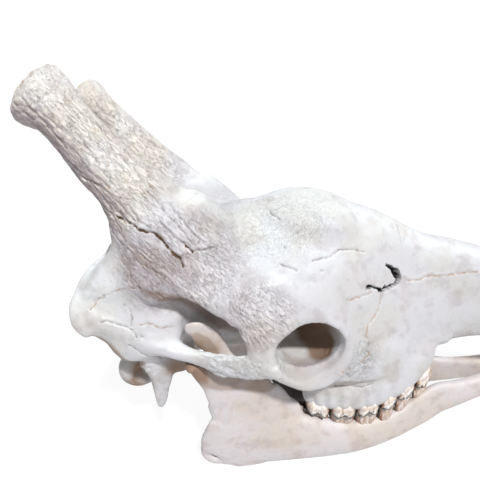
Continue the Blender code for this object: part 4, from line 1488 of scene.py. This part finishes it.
def cheek_teeth(upper):
    """Right row of six crowns, the upper ones outside the lower ones, whose last molar has a third lobe."""
    row = []
    for back, front, lobes in zip(TOOTH_EDGES, TOOTH_EDGES[1:], TOOTH_LOBES):
        width = MOLAR_WIDTH if lobes == 2 else PREMOLAR_WIDTH
        if upper:
            row.append(crown(back + 0.3, front - 0.3, lobes, width,
                             lambda x, w=width: w / 2 - level(UPPER_CHEEK, x), upper_root, zigzag))
        else:
            row.append(crown(back - 0.7, front - 1.3, lobes, width * 2 / 3,
                             lambda x, w=width: 8.5 + w / 3 - level(UPPER_CHEEK, x), lower_root, lower_bite))
    if not upper:
        back, front, middle, width = THIRD_LOBE
        row.append(crown(back, front, 1, width, lambda x: middle + 0 * x, lower_root, lower_bite))
    return row


def incisors():
    """Right front teeth: four flat crowns fanned along the edge of the jaw, the outer one the widest."""
    crowns = []
    for i, (y, half) in enumerate(INCISORS):
        fan = math.radians(4 + 10 * i)
        ahead = np.array([math.cos(fan), -math.sin(fan), 0.4])
        root = np.array([626 - 0.012 * y * y, -y, 8.5]) - 16 * ahead
        sizes = ((0, 2.4, 2.6), (12, 3.6, 3.2), (22, half, 2.8), (30, half * 0.95, 1.8))
        rows = [(*(root + run * ahead), wide, thick) for run, wide, thick in sizes]
        crowns.append(tube(rows, sides=24, steps=5, ends=(0.0, 0.4)))
    return crowns


def cheek_row(p):
    """Whether each point is on the cheek teeth, and how far along the row it is from the nearest gap."""
    return p[:, 0] < TOOTH_EDGES[-1] + 6, np.abs(p[:, 0, None] - np.array(TOOTH_EDGES)).min(1)


def painted_tooth_shade(p, n):
    """Deep painted shade: dark in the gaps between the teeth of a cheek row, and ragged round the bite."""
    in_row, gap = cheek_row(p)
    below = zigzag(p[:, 0]) - p[:, 2]
    edge = rise(4.2 + 5.0 * grain(p, 2.6, 81) + below, 0, 1.2) * rise(0.8 - below, 0, 0.8)
    lower = rise(below, 0.6, 1.4) * rise(6.5 + 2.5 * grain(p, 3, 82) - below, 0, 1.6)
    bite = np.maximum(edge, lower) * rise(grain(p, 2.2, 83), -0.6, -0.15)
    split = rise(2.0 + 1.4 * grain(p, 3, 84) - gap, 0, 1.1)
    return in_row * np.maximum(split, 0.92 * bite)


def tooth_stain(p, n):
    """Brown that gathers towards the gums and the gaps."""
    in_row, gap = cheek_row(p)
    gum = np.abs(p[:, 2] - level(UPPER_SOCKET, p[:, 0]) + 12)
    lower = rise(level(BITE_LINE, p[:, 0]) - p[:, 2], 4, 9)
    brown = 0.8 * rise(6 - gap, 0, 4) + 0.6 * rise(3.5 - gum, 0, 3) + 0.6 * lower
    return in_row * np.clip(brown, 0, 1)


for side, turn in (("right", lambda s: s), ("left", mirrored)):
    upper = piece("teeth", [turn(s) for s in cheek_teeth(True)])
    dress(upper, f"upper_teeth_{side}", "cranium", ENAMEL, tooth_stain, painted_tooth_shade)
    lower = piece("teeth", [turn(s) for s in cheek_teeth(False) + incisors()])
    dress(lower, f"lower_teeth_{side}", f"mandible_{side}", ENAMEL, tooth_stain, painted_tooth_shade)


# Floor: a plain, matt, near-white studio sheet that the jaw stands on, swept up to a wall behind it. Its
# sizes are in metres: half its width, its front edge, the wall's place and top, and the sweep's radius.
SHEET_HALF, SHEET_FRONT, WALL, WALL_TOP, SWEEP = 12.0, -8.0, 6.0, 9.0, 2.0


def sheet_material():
    """Matt white sheet that glows evenly, as if lit from behind, so that shadows on it stay faint."""
    material, shader = blank("white sheet")
    shader.inputs["Base Color"].default_value = linear("#4C4C4E")
    shader.inputs["Roughness"].default_value = 0.9
    shader.inputs["Emission Color"].default_value = linear("#FFFFFF")
    shader.inputs["Emission Strength"].default_value = 0.92
    return material


def floor():
    """Sheet along y: flat to the sweep, a quarter circle, then straight up."""
    turn = np.linspace(0, math.pi / 2, 25)
    y = np.r_[SHEET_FRONT, WALL - SWEEP + SWEEP * np.sin(turn), WALL]
    z = np.r_[0, SWEEP - SWEEP * np.cos(turn), WALL_TOP]
    rows = np.array([np.stack([0 * y + x, y, z], 1) for x in (-SHEET_HALF, SHEET_HALF)])
    count = len(y)
    i = np.arange(count - 1)
    mesh = bpy.data.meshes.new("floor")
    quads = np.stack([i, i + count, i + count + 1, i + 1], 1)
    mesh.from_pydata(rows.reshape(-1, 3).tolist(), [], quads.tolist())
    mesh.materials.append(sheet_material())
    mesh.shade_smooth()
    return placed("floor", mesh)


floor()
